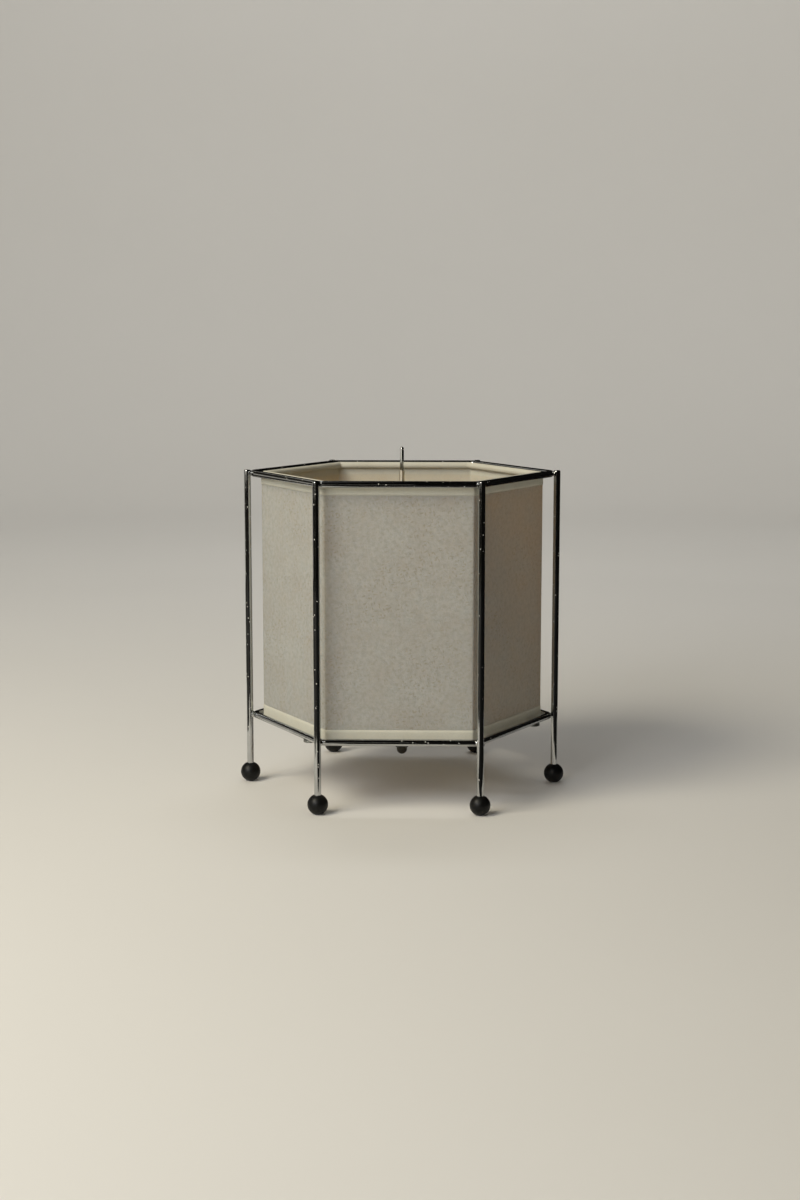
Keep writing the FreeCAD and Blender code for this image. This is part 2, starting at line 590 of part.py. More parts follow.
switch_radius = "(Sizes.switch_diameter / 2)"
switch_chamber_radius = "(Sizes.switch_chamber_diameter / 2)"
rod_radius = "(Sizes.push_rod_diameter / 2)"
rod_bore_radius = f"({rod_radius} + Sizes.running_clearance)"
tube_radius = "(Sizes.tube_diameter / 2)"
tube_seat_radius = f"({tube_radius} + Sizes.glue_gap)"
chamber_roof = "(Sizes.switch_height - Sizes.switch_roof)"
bush_top = "(Sizes.switch_height + Sizes.bush_height)"
switch_bottom_z = f"({lid_bottom_z} - Sizes.switch_height)"
tube_bottom_z = f"({switch_bottom_z} + {bush_top} - Sizes.tube_seat_depth)"
place(turned("switch_body", [
    (0, 0),
    (switch_radius, 0),
    (switch_radius, "Sizes.switch_height"),
    (bush_radius, "Sizes.switch_height"),
    (bush_radius, bush_top),
    (tube_seat_radius, bush_top),
    (tube_seat_radius, f"{bush_top} - Sizes.tube_seat_depth"),
    (rod_bore_radius, f"{bush_top} - Sizes.tube_seat_depth"),
    (rod_bore_radius, chamber_roof),
    (switch_chamber_radius, chamber_roof),
    (switch_chamber_radius, "Sizes.switch_floor"),
    (0, "Sizes.switch_floor"),
]), z=switch_bottom_z)

place(turned("switch_ring_nut", [
    (bush_hole_radius, 0),
    ("Sizes.ring_nut_diameter / 2", 0),
    ("Sizes.ring_nut_diameter / 2", "Sizes.ring_nut_height"),
    (bush_hole_radius, "Sizes.ring_nut_height"),
]), z=f"{lid_bottom_z} + Sizes.lid_thickness")

switch_lead = cylinder(switch_lead_radius, f"{switch_bottom_z} - {switch_lead_bottom_z} - Sizes.lead_slack",
                       x=f"Sizes.switch_lead_offset * sin({stack_turn})",
                       y=f"-Sizes.switch_lead_offset * cos({stack_turn})",
                       z=f"{switch_lead_bottom_z} + Sizes.lead_slack")
keep(switch_lead, "switch_lead")

# Stem: the fixed guide tube and the round-nosed push rod that slides in it
tube_top_z = "(Sizes.frame_height - Sizes.tube_drop)"
push_rod_top_z = f"({tube_top_z} + Sizes.push_rod_rise)"
place(turned("guide_tube", [
    (rod_bore_radius, 0),
    (tube_radius, 0),
    (tube_radius, f"{tube_top_z} - {tube_bottom_z}"),
    (rod_bore_radius, f"{tube_top_z} - {tube_bottom_z}"),
]), z=tube_bottom_z)

foot_top_z = f"({switch_bottom_z} + {chamber_roof} - Sizes.foot_gap)"
foot_bottom_z = f"({foot_top_z} - Sizes.foot_height)"
rod_foot = cylinder("Sizes.foot_diameter / 2", "Sizes.foot_height", z=foot_bottom_z)
rod_shaft = cylinder(rod_radius, f"{push_rod_top_z} - {rod_radius} - {foot_bottom_z}", z=foot_bottom_z)
rod_nose = doc.addObject("Part::Sphere", "nose_blank")
bind(rod_nose, Radius=rod_radius)
place(rod_nose, z=f"{push_rod_top_z} - {rod_radius}")
keep(fuse(rod_foot, rod_shaft, rod_nose), "push_rod")

# Return spring under the push rod's foot
spring_bottom_z = f"({switch_bottom_z} + Sizes.switch_floor + Sizes.spring_end_gap + Sizes.spring_wire / 2)"
spring_top_z = f"({foot_bottom_z} - Sizes.spring_end_gap - Sizes.spring_wire / 2)"
spring_radius = "(Sizes.spring_diameter / 2 - Sizes.spring_wire / 2)"
spring = doc.addObject("PartDesign::Body", "switch_spring")
wire_section = spring.newObject("Sketcher::SketchObject", "switch_spring_section")
spring_plane = next(plane for plane in spring.Origin.OriginFeatures if plane.Role == "XZ_Plane")
wire_section.AttachmentSupport = [(spring_plane, "")]
wire_section.MapMode = "FlatFace"
wire_centre = FreeCAD.Vector(value(spring_radius), 0, 0)
wire_section.addGeometry(Part.Circle(wire_centre, Z_AXIS, value("Sizes.spring_wire / 2")), False)
wire_section.addConstraint(Sketcher.Constraint("PointOnObject", 0, 3, -1))
for kind, parts, formula in (
        ("DistanceX", (-1, 1, 0, 3), spring_radius),
        ("Radius", (0,), "Sizes.spring_wire / 2")):
    index = wire_section.addConstraint(Sketcher.Constraint(kind, *parts, value(formula)))
    wire_section.setExpression(f"Constraints[{index}]", formula)
coil = spring.newObject("PartDesign::AdditiveHelix", "switch_spring_coil")
coil.Profile = wire_section
coil.ReferenceAxis = (wire_section, ["V_Axis"])
coil.Mode = "pitch-height-angle"
bind(coil, Pitch="Sizes.spring_pitch", Height=f"{spring_top_z} - {spring_bottom_z}")
place(spring, z=spring_bottom_z)
keep(spring, "switch_spring")

# Paper shade: six panels whose upper and lower edges go inwards round a hexagonal wire and are turned down outside
shade_bottom_z = f"({arm_top_z} + Sizes.shade_rest_gap)"
shade_top_z = "(Sizes.frame_height - Sizes.shade_top_drop)"
shade_distance = f"({ring_bar_distance} - {ring_rod_radius} - Sizes.shade_clearance)"
roll_bore_radius = "(Sizes.hem_wire_diameter / 2 + Sizes.hem_slack)"
roll_radius = f"({roll_bore_radius} + Sizes.paper_thickness)"
wire_distance = f"({shade_distance} - {roll_radius})"
wire_corner_radius = f"({wire_distance} / cos({HALF_SIDE_ANGLE}))"
low_wire_z = f"({shade_bottom_z} + {roll_radius})"
high_wire_z = f"({shade_top_z} - {roll_radius})"
for label, height in (("shade_top_wire", high_wire_z), ("shade_bottom_wire", low_wire_z)):
    hexagon_ring(label, wire_corner_radius, height, "Sizes.hem_wire_diameter", "Sizes.hem_wire_bend_radius")

panel_width = f"(2 * {shade_distance} * tan({HALF_SIDE_ANGLE}))"
panel_edge = f"(-{panel_width} / 2)"
flap_height = f"(Sizes.hem_height - {roll_radius})"
# The sheet lies behind the flaps and ends in the middle of each roll's wall
roll_wall_radius = f"({roll_bore_radius} + Sizes.paper_thickness / 2)"
sheet_offset = f"({roll_radius} - 1.5 * Sizes.paper_thickness)"
sheet_start = f"sqrt({roll_wall_radius}^2 - {sheet_offset}^2)"
for number in range(1, SIDES + 1):
    paper = [box("Sizes.paper_thickness", panel_width, f"{high_wire_z} - {low_wire_z} - 2 * {sheet_start}",
                 x=f"{shade_distance} - 2 * Sizes.paper_thickness", y=panel_edge,
                 z=f"{low_wire_z} + {sheet_start}")]
    bores = []
    for wire_z, flap_z in ((low_wire_z, low_wire_z), (high_wire_z, f"({high_wire_z} - {flap_height})")):
        paper.append(cylinder(roll_radius, panel_width, x=wire_distance, y=panel_edge, z=wire_z,
                              rotation=ALONG_Y))
        paper.append(box("Sizes.paper_thickness", panel_width, flap_height,
                         x=f"{shade_distance} - Sizes.paper_thickness", y=panel_edge, z=flap_z))
        bores.append(cylinder(roll_bore_radius, panel_width, x=wire_distance, y=panel_edge, z=wire_z,
                              rotation=ALONG_Y))
    mitre = doc.addObject("Part::Prism", "mitre_blank")
    mitre.Polygon = 3
    mitre.Placement = FreeCAD.Placement(ORIGIN, FreeCAD.Rotation(Z_AXIS, 180))
    bind(mitre, Circumradius=shade_distance, Height=f"{shade_top_z} - {shade_bottom_z}")
    place(mitre, x=shade_distance, z=shade_bottom_z)
    panel = doc.addObject("Part::Common", "panel_blank")
    panel.Base = cut(fuse(*paper), *bores)
    panel.Tool = mitre
    panel.Placement = FreeCAD.Placement(
        ORIGIN, FreeCAD.Rotation(Z_AXIS, HALF_SIDE_ANGLE + (number - 1) * SIDE_ANGLE))
    keep(panel, f"paper_panel_{number}")

doc.recompute()

# Everything is checked before anything is written
for thing in doc.Objects:
    if "Invalid" in thing.State or "Error" in thing.State:
        raise RuntimeError(f"{thing.Label} failed: {thing.State}")
for piece in pieces:
    if piece.Shape.isNull() or not piece.Shape.isValid() or not piece.Shape.Solids:
        raise RuntimeError(f"{piece.Label} has no valid solid")

os.makedirs("parts", exist_ok=True)
for piece in pieces:
    piece.Shape.exportStep(f"parts/{piece.Label}.step")
    print(f"{piece.Label}: {len(piece.Shape.Solids)} solid, {piece.Shape.Volume / 1000:.2f} cm3")
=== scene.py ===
# %% [markdown]
# # Dressing a paper table lamp
# The lamp is a cage of chrome rod on six black ball feet, and a six-sided paper shade that stands inside
# the cage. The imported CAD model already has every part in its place, so the main sizes are read from the
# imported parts, and each new piece is made where the part that it stands for is.

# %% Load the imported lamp
import json
import math

import bpy
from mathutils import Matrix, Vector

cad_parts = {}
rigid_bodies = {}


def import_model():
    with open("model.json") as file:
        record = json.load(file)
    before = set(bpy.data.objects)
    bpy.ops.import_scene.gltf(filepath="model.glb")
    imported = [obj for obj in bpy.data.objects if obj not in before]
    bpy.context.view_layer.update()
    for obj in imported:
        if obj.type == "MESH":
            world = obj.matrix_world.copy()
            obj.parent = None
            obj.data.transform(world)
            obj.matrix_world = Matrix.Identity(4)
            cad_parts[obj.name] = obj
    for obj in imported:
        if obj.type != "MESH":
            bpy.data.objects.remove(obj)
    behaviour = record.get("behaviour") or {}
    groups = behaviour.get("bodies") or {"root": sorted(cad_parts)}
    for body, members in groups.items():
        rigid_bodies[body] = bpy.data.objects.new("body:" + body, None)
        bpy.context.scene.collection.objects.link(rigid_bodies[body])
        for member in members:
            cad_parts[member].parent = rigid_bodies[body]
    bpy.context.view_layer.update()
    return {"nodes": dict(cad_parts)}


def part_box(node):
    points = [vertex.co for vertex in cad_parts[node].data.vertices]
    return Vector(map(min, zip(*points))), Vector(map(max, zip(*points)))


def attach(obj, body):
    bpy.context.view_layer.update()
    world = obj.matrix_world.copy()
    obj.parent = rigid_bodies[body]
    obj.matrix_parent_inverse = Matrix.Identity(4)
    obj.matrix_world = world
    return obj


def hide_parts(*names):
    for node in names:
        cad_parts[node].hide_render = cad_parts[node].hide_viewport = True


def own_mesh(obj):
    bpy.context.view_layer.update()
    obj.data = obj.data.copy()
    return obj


for leftover in list(bpy.data.objects):
    bpy.data.objects.remove(leftover)
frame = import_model()
nodes = frame["nodes"]
MM = 0.001
print("CAD nodes:", len(nodes))

# %% [markdown]
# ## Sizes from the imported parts
# A box round a part is enough to read a rod's thickness, a leg's distance from the middle or the shade's
# height. Reading them keeps the dressed lamp in step with the source: a wider lamp there gives a wider lamp
# here.

# %% Read the sizes
leg_low, leg_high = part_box("leg_1")
ROD = (leg_high.y - leg_low.y) / 2
LEG_CIRCLE = (leg_low.x + leg_high.x) / 2
ring_heights = {}
for ring in ("top_ring", "bottom_ring"):
    low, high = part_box(ring)
    ring_heights[ring] = (low.z + high.z) / 2
    RING_FACE = high.y - (high.z - low.z) / 2
panel_low, panel_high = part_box("paper_panel_2")
SHADE_FACE = panel_high.y
SHADE_BOTTOM, SHADE_TOP = panel_low.z, panel_high.z
HEM_ROLL = (panel_high.y - panel_low.y) / 2
print(f"rod {2 * ROD / MM:.1f} mm, legs {LEG_CIRCLE / MM:.1f} mm from the middle")
print(f"shade {SHADE_FACE / MM:.1f} mm to a face, {(SHADE_TOP - SHADE_BOTTOM) / MM:.1f} mm tall")

# %% [markdown]
# ## Small helpers for node trees
# Materials and Geometry Nodes are both trees of nodes. One function adds a node with its settings and fills
# its sockets, by name or in order, with a value, a socket of another node, or another node, which stands
# for its first output in use. The commonest kinds of node have a short name. Colours are written as the hex
# values that a paint program shows, and one more function turns these into the linear values that Blender
# works in.

# %% Node and colour helpers
MATH, VECTOR, MIX = "ShaderNodeMath", "ShaderNodeVectorMath", "ShaderNodeMix"
RANGE, NOISE = "ShaderNodeMapRange", "ShaderNodeTexNoise"
PRINCIPLED, OUTPUT = "ShaderNodeBsdfPrincipled", "ShaderNodeOutputMaterial"


def add(tree, kind, sockets=(), **settings):
    node = tree.nodes.new(kind)
    for name, setting in settings.items():
        setattr(node, name, setting)
    for name, given in sockets.items() if isinstance(sockets, dict) else enumerate(sockets):
        if isinstance(given, bpy.types.Node):
            given = next(output for output in given.outputs if output.enabled)
        elif str(given).startswith("#"):
            given = colour(given)
        if isinstance(given, bpy.types.NodeSocket):
            tree.links.new(given, node.inputs[name])
        else:
            node.inputs[name].default_value = given
    return node


def colour(hex_code):
    channels = [int(hex_code[i:i + 2], 16) / 255 for i in (1, 3, 5)]
    linear = [c / 12.92 if c <= 0.04045 else ((c + 0.055) / 1.055) ** 2.4 for c in channels]
    return (*linear, 1.0)


def per_mm(size):
    """The texture scale that draws a feature this many millimetres across."""
    return 1 / (size * MM)


def new_material(name):
    material = bpy.data.materials.new(name)
    material.use_nodes = True
    material.node_tree.nodes.clear()
    return material, material.node_tree


print("mid grey in linear light:", round(colour("#808080")[0], 3))

# %% [markdown]
# ## Chrome plate
# The rods are drawn steel, polished and then plated with nickel and chrome. That leaves a mirror with a
# little haze, very fine lines along the rod from the drawing, and pin-prick pits where old plating has let
# go. The pits are painted pale and matt as well, a painted glint that makes them show as bright specks. The
# lines need to know which way the rod runs, so the rods made below carry two attributes: `around`, the
# place round the rod as a point on a circle, which has no seam, and `along`, the distance along it.

# %% Chrome plate
LINES_ROUND, LINE_RELIEF = (4, 4, 0), 0.07
PIT_TURN, PIT_FREE, PIT_DULL = (0.6, 0.4, 0.9), 0.84, 0.5
chrome, tree = new_material("chrome_plated_steel")
place = add(tree, "ShaderNodeTexCoord").outputs["Object"]
around = add(tree, "ShaderNodeAttribute", attribute_name="around").outputs["Vector"]
along = add(tree, "ShaderNodeAttribute", attribute_name="along").outputs["Fac"]
# drawing lines: about 0.8 mm apart round the rod, fading in and out every 60 mm or so along it
slow = add(tree, MATH, [along, per_mm(60)], operation="MULTIPLY")
stretched = add(tree, "ShaderNodeCombineXYZ", {"Z": slow})
line_place = add(tree, VECTOR, [around, LINES_ROUND, stretched], operation="MULTIPLY_ADD")
lines = add(tree, NOISE, {"Vector": line_place, "Scale": 1.0, "Detail": 3.0})
haze = add(tree, NOISE, {"Vector": place, "Scale": per_mm(18), "Detail": 4.0})
# pits: really 0.1 to 0.3 mm, drawn up to 1 mm wide so that they show as specks on the rods
# their cells are turned off the axes, because cells stacked straight along a rod would set the pits in rows
skewed = add(tree, "ShaderNodeMapping", {"Vector": place, "Rotation": PIT_TURN})
cells = add(tree, "ShaderNodeTexVoronoi", {"Vector": skewed, "Scale": per_mm(1.6)})
chosen = add(tree, MATH, [cells.outputs["Color"], PIT_FREE], operation="GREATER_THAN")
pit = add(tree, RANGE, {
    "Value": cells.outputs["Distance"], "From Min": 0.18, "From Max": 0.34, "To Min": 1.0, "To Max": 0.0},
    interpolation_type="SMOOTHSTEP")
pits = add(tree, MATH, [pit, chosen], operation="MULTIPLY")
rough = add(tree, RANGE, {"Value": haze, "From Min": 0.3, "From Max": 0.7, "To Min": 0.04, "To Max": 0.1})
rougher = add(tree, MATH, [pits, PIT_DULL, rough], operation="MULTIPLY_ADD")
plate = add(tree, MIX, {0: haze, 6: "#C9CBCC", 7: "#B4B5B4"}, data_type="RGBA")
# the pits are real, but their pale matt tint is a painted glint, so that they show as bright specks on the
# dark rods
plate_and_painted_glints = add(tree, MIX, {0: pits, 6: plate, 7: "#D8D4CA"}, data_type="RGBA")
sunk = add(tree, MATH, [pits, -1.0], operation="MULTIPLY")
relief = add(tree, MATH, [lines, LINE_RELIEF, sunk], operation="MULTIPLY_ADD")
bump = add(tree, "ShaderNodeBump", {"Height": relief, "Strength": 1.0, "Distance": 0.05 * MM})
bright = add(tree, MATH, [1.0, pits], operation="SUBTRACT")
shader = add(tree, PRINCIPLED, {
    "Base Color": plate_and_painted_glints, "Metallic": bright, "Roughness": rougher, "Normal": bump})
add(tree, OUTPUT, {"Surface": shader})
print("made", chrome.name)

# %% [markdown]
# ## Black ball
# The feet are moulded balls in a hard black plastic with a satin skin. The mould leaves a slight orange
# peel, and handling leaves faint paler scuffs, most of them low down where the ball meets the table.

# %% Black ball plastic
ball_black, tree = new_material("satin_black_moulded_ball")
place = add(tree, "ShaderNodeTexCoord").outputs["Object"]
peel = add(tree, NOISE, {"Vector": place, "Scale": per_mm(1.6), "Detail": 2.0})
wear = add(tree, NOISE, {"Vector": place, "Scale": per_mm(5), "Detail": 6.0, "Roughness": 0.7})
height = add(tree, "ShaderNodeSeparateXYZ", [place]).outputs["Z"]
spared = add(tree, RANGE, {
    "Value": height, "From Min": 1 * MM, "From Max": 12 * MM, "To Min": 0.38, "To Max": 0.64})
scuff = add(tree, MATH, [wear, spared], operation="SUBTRACT")
scuffed = add(tree, RANGE, {"Value": scuff, "From Max": 0.12})
skin = add(tree, MIX, {0: scuffed, 6: "#0A0A09", 7: "#181715"}, data_type="RGBA")
rough = add(tree, RANGE, {"Value": wear, "From Min": 0.3, "From Max": 0.7, "To Min": 0.36, "To Max": 0.5})
bump = add(tree, "ShaderNodeBump", {"Height": peel, "Strength": 0.35, "Distance": 0.08 * MM})
shader = add(tree, PRINCIPLED, {
    "Base Color": skin, "Roughness": rough, "IOR": 1.46, "Specular IOR Level": 0.28, "Normal": bump})
add(tree, OUTPUT, {"Surface": shader})
print("made", ball_black.name)

# %% [markdown]
# ## Fibrous paper: its patterns
# The shade is long-fibred handmade paper, and its two sides differ. The face is a clouded pale grey with
# single fibres and patches of bark flecks. The back was brushed smooth while it was wet, and is an even
# cream. Five noises come first: clouds where the pulp lay thicker, a mottle, the tooth of the surface, the
# patches that flecks gather in and the sway that bends the strands. They lie on the flat strip, so they
# follow the paper round its folds.

# %% Paper patterns
# pattern: size in mm, detail, roughness
PATTERNS = {"cloud": (26, 4.0, 0.6), "mottle": (4, 4.0, 0.65), "tooth": (1.1, 3.0, 0.5),
            "patches": (48, 3.0, 0.5), "sway": (14, 1.0, 0.5)}
paper, tree = new_material("handmade_fibre_paper")
sheet_place = add(tree, "ShaderNodeUVMap", uv_map="UVMap")
cloud, mottle, tooth, patches, sway = [
    add(tree, NOISE, {"Vector": sheet_place, "Scale": per_mm(size), "Detail": detail, "Roughness": roughness},
        noise_dimensions="2D") for size, detail, roughness in PATTERNS.values()]
print("paper patterns:", ", ".join(PATTERNS))

# %% [markdown]
# ## Fibrous paper: its strands
# Pale fibres lie in four directions and short dark flecks in two. Each layer is a cell pattern stretched
# along one direction, bent a little by the sway, with only some of its cells filled. A fibre is really
# 0.1 mm thick. It is drawn 0.5 mm wide and 5 mm long, and a bark fleck 1 by 2.5 mm, so that they show.

# %% Paper strands
# strands: kind, direction in degrees, length and width of a cell in mm, share of the cells left empty
STRANDS = [("fibre", direction, 14, 1.3, 0.5) for direction in (8, 52, 97, 141)]
STRANDS += [("fleck", 75, 6, 2.6, 0.52), ("fleck", 165, 7, 3.0, 0.54)]
LAYER_SHIFT = (0.37, 0.61)
bend = add(tree, VECTOR, {0: sway.outputs["Color"], "Scale": 4 * MM}, operation="SCALE")
bent = add(tree, VECTOR, [sheet_place, bend], operation="ADD")
strands = {}
for number, (kind, direction, length, width, empty) in enumerate(STRANDS):
    turned = add(tree, "ShaderNodeMapping", {
        "Vector": bent, "Location": (LAYER_SHIFT[0] * number, LAYER_SHIFT[1] * number, 0),
        "Rotation": (0, 0, math.radians(direction))})
    drawn_out = add(tree, VECTOR, [turned, (per_mm(length), per_mm(width), 1)], operation="MULTIPLY")
    cells = add(tree, "ShaderNodeTexVoronoi", {"Vector": drawn_out, "Scale": 1.0}, voronoi_dimensions="2D")
    chosen = add(tree, MATH, [cells.outputs["Color"], empty], operation="GREATER_THAN")
    strand = add(tree, RANGE, {
        "Value": cells.outputs["Distance"], "From Min": 0.1, "From Max": 0.28, "To Min": 1.0, "To Max": 0.0},
        interpolation_type="SMOOTHSTEP")
    layer = add(tree, MATH, [strand, chosen], operation="MULTIPLY")
    if kind in strands:
        layer = add(tree, MATH, [strands[kind], layer], operation="MAXIMUM")
    strands[kind] = layer
fibres, flecks = strands["fibre"], strands["fleck"]
print("layers of strands:", len(STRANDS))

# %% [markdown]
# ## Fibrous paper: colour and light
# The colours are laid from the pulp up. The shade that is made below carries two attributes: `back` is 1 on
# the smooth side, and `plies` is 1 where the hem lies double. Some of the light comes through, so each side
# is a mix of a rough surface and a translucent one, and thick places and double ones let less through.

# %% Paper colour and light
FIBRE_SHARE, FIBRE_RELIEF, BRUSHED_OUT, MOTTLE_THICK, HELD_BACK = 0.35, 0.6, 0.75, 0.5, 0.25
pulp = add(tree, MIX, {0: cloud, 6: "#A7B0B1", 7: "#B5BBB9"}, data_type="RGBA")
mottled = add(tree, RANGE, {"Value": mottle, "From Min": 0.38, "From Max": 0.66})
clouded = add(tree, MIX, {0: mottled, 6: pulp, 7: "#9EA6A5"}, data_type="RGBA")
gathered = add(tree, RANGE, {
    "Value": patches, "From Min": 0.4, "From Max": 0.62, "To Min": 0.12, "To Max": 0.5})
dark_share = add(tree, MATH, [flecks, gathered], operation="MULTIPLY")
flecked = add(tree, MIX, {0: dark_share, 6: clouded, 7: "#797A75"}, data_type="RGBA")
pale_share = add(tree, MATH, [fibres, FIBRE_SHARE], operation="MULTIPLY")
face = add(tree, MIX, {0: pale_share, 6: flecked, 7: "#C6CCCA"}, data_type="RGBA")
smooth = add(tree, MIX, {0: cloud, 6: "#CFCEBF", 7: "#D8D7CA"}, data_type="RGBA")
back = add(tree, "ShaderNodeAttribute", attribute_name="back").outputs["Fac"]
sided = add(tree, MIX, {0: back, 6: face, 7: smooth}, data_type="RGBA")
relief = add(tree, MATH, [fibres, FIBRE_RELIEF, tooth], operation="MULTIPLY_ADD")
brushed = add(tree, MATH, [back, -BRUSHED_OUT, 1.0], operation="MULTIPLY_ADD")
flattened = add(tree, MATH, [relief, brushed], operation="MULTIPLY")
bump = add(tree, "ShaderNodeBump", {"Height": flattened, "Strength": 0.4, "Distance": 0.12 * MM})
front = add(tree, PRINCIPLED, {
    "Base Color": sided, "Roughness": 0.9, "IOR": 1.5, "Specular IOR Level": 0.25, "Normal": bump})
# light crosses both skins of the sheet, so each skin has the square root of the sheet's own warm tint
glow = add(tree, MIX, {0: fibres, 6: "#EDC974", 7: "#E0B960"}, data_type="RGBA")
through = add(tree, "ShaderNodeBsdfTranslucent", {"Color": glow, "Normal": bump})
thick = add(tree, MATH, [mottle, MOTTLE_THICK, cloud], operation="MULTIPLY_ADD")
share = add(tree, RANGE, {"Value": thick, "From Min": 0.45, "From Max": 1.05, "To Min": 0.4, "To Max": 0.31})
plies = add(tree, "ShaderNodeAttribute", attribute_name="plies").outputs["Fac"]
held_back = add(tree, MATH, [plies, -HELD_BACK, 1.0], operation="MULTIPLY_ADD")
passed = add(tree, MATH, [share, held_back], operation="MULTIPLY")
both = add(tree, "ShaderNodeMixShader", [passed, front, through])
add(tree, OUTPUT, {"Surface": both})
print("made", paper.name)

# %% [markdown]
# ## Finishes for the hidden hardware
# The fittings inside are bought parts: zinc-plated pressings, black moulded lampholders, brass shells and
# caps, a rubber grommet and plastic-covered leads. They differ in colour, roughness and grain size, so one
# loop makes them from a table. Each has noise in two sizes, a broad one for tarnish or bloom and a fine one
# for the grain.

# %% Hardware finishes
# name: slot or single part, two colours, metallic, roughness range, then broad and fine pattern
# and relief in mm
FINISHES = {
    # nickel plate on brass, brushed to a satin: warm silver that takes the paper's light
    "satin_nickel_plate": ("guide_tube", "#E6E0D0", "#D2CBB9", 1.0, (0.4, 0.52), 6.0, 0.7, 0.01),
    # zinc plate with a clear passivate: dull silver with a faint yellow cast, spangled in broad patches
    "zinc_plated_steel": ("plated_steel", "#A9ABA8", "#8F9088", 1.0, (0.28, 0.46), 9.0, 1.2, 0.02),
    # oil-blackened steel: a dark oxide that rubs to brown-grey
    "oil_blackened_steel": ("black_steel", "#34322D", "#4B473F", 0.6, (0.34, 0.5), 4.0, 0.8, 0.03),
    # black phenolic moulding: hard gloss gone slightly matt, with flow marks
    "black_phenolic_moulding": ("black_moulding", "#151414", "#221F1D", 0.0, (0.3, 0.48), 8.0, 0.9, 0.03),
    # rolled brass: warm yellow, browner where it has been handled
    "rolled_brass": ("brass", "#C9A660", "#9A7838", 1.0, (0.2, 0.4), 5.0, 0.7, 0.015),
    # rubber: matt, with a grey bloom
    "moulded_rubber": ("grommet_rubber", "#1A1A1A", "#2D2C2B", 0.0, (0.7, 0.9), 5.0, 0.8, 0.04),
    # soft plastic covering of the leads: smooth, yellowed white
    "soft_plastic_covering": ("lead_cover", "#D9D4C4", "#C7BFA8", 0.0, (0.35, 0.5), 12.0, 1.5, 0.02),
    # bright drawn wire with a few rust freckles
    "bright_drawn_wire": ("hem_wire", "#9C9B97", "#6E5B4A", 1.0, (0.3, 0.5), 6.0, 0.9, 0.02),
}
GRAIN_WEAR = 0.4
slot_finish = {"chrome_rod": chrome, "ball_black": ball_black, "shade_paper": paper}
for name, (slot, pale, deep, metallic, gloss, broad, fine, depth) in FINISHES.items():
    slot_finish[slot], tree = new_material(name)
    place = add(tree, "ShaderNodeTexCoord").outputs["Object"]
    bloom = add(tree, NOISE, {"Vector": place, "Scale": per_mm(broad), "Detail": 5.0, "Roughness": 0.6})
    grain = add(tree, NOISE, {"Vector": place, "Scale": per_mm(fine), "Detail": 2.0})
    patch = add(tree, RANGE, {"Value": bloom, "From Min": 0.38, "From Max": 0.68})
    skin = add(tree, MIX, {0: patch, 6: pale, 7: deep}, data_type="RGBA")
    worn = add(tree, MATH, [grain, GRAIN_WEAR, patch], operation="MULTIPLY_ADD")
    rough = add(tree, RANGE, {
        "Value": worn, "From Min": 0.1, "From Max": 1.2, "To Min": gloss[0], "To Max": gloss[1]})
    bump = add(tree, "ShaderNodeBump", {"Height": grain, "Strength": 0.5, "Distance": depth * MM})
    shader = add(tree, PRINCIPLED, {
        "Base Color": skin, "Metallic": metallic, "Roughness": rough, "Normal": bump})
    add(tree, OUTPUT, {"Surface": shader})
print("made", len(FINISHES), "hardware finishes")

# %% [markdown]
# ## Opal glass
# The two bulbs are small globes with a white powder coat inside, so the glass is milky: a soft white with a
# clear outer gloss, and light passes through it scattered.

# %% Opal glass
SCATTERED = 0.3
opal, tree = new_material("opal_bulb_glass")
place = add(tree, "ShaderNodeTexCoord").outputs["Object"]
powder = add(tree, NOISE, {"Vector": place, "Scale": per_mm(7), "Detail": 5.0})
milky = add(tree, MIX, {0: powder, 6: "#EEECE6", 7: "#E1DED6"}, data_type="RGBA")
rough = add(tree, RANGE, {"Value": powder, "From Min": 0.3, "From Max": 0.7, "To Min": 0.12, "To Max": 0.22})
glass = add(tree, PRINCIPLED, {
    "Base Color": milky, "Roughness": rough, "IOR": 1.52, "Coat Weight": 0.5, "Coat Roughness": 0.05})
scatter = add(tree, "ShaderNodeBsdfTranslucent", {"Color": milky})
both = add(tree, "ShaderNodeMixShader", [SCATTERED, glass, scatter])
add(tree, OUTPUT, {"Surface": both})
slot_finish["bulb_glass"] = opal
print("made", opal.name)

# %% [markdown]
# ## Put the finishes on the CAD parts
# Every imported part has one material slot, named for its finish, and the better material goes there. Parts
# that a finer piece replaces get it too, which does no harm. The guide tube of the switch has a finish of
# its own.

# %% Dress the CAD parts
dressed = 0
for name, node in nodes.items():
    for holder in node.material_slots:
        slot = holder.material.name.split(".")[0]
        holder.material = slot_finish[name if name in slot_finish else slot]
        dressed += 1
print("dressed", dressed, "slots of CAD parts")

# %% [markdown]
# ## From a node tree to a plain mesh
# Geometry Nodes build what repeats or follows a path. One function makes a tree with named inputs, one ends
# it, and one more runs it: it puts it on an empty object as a modifier, sets the inputs by their
# identifiers, and keeps the evaluated result as an ordinary mesh with the modifier gone.

# %% Object and tree helpers
def new_object(name, data):
    made = bpy.data.objects.new(name, data)
    bpy.context.scene.collection.objects.link(made)
    return made


def new_mesh(name, points, faces=()):
    mesh = bpy.data.meshes.new(name)
    mesh.from_pydata(points, [], faces)
    return mesh


def new_tree(name, **inputs):
    tree = bpy.data.node_groups.new(name, "GeometryNodeTree")
    tree.interface.new_socket("Mesh", in_out="OUTPUT", socket_type="NodeSocketGeometry")
    for label, kind in inputs.items():
        tree.interface.new_socket(label, in_out="INPUT", socket_type="NodeSocket" + kind)
    return tree, add(tree, "NodeGroupInput").outputs


def close_tree(tree, mesh, material):
    smooth = add(tree, "GeometryNodeSetShadeSmooth", {"Geometry": mesh})
    real = add(tree, "GeometryNodeRealizeInstances", {"Geometry": smooth})
    faced = add(tree, "GeometryNodeSetMaterial", {"Geometry": real, "Material": material})
    add(tree, "NodeGroupOutput", {"Mesh": faced})


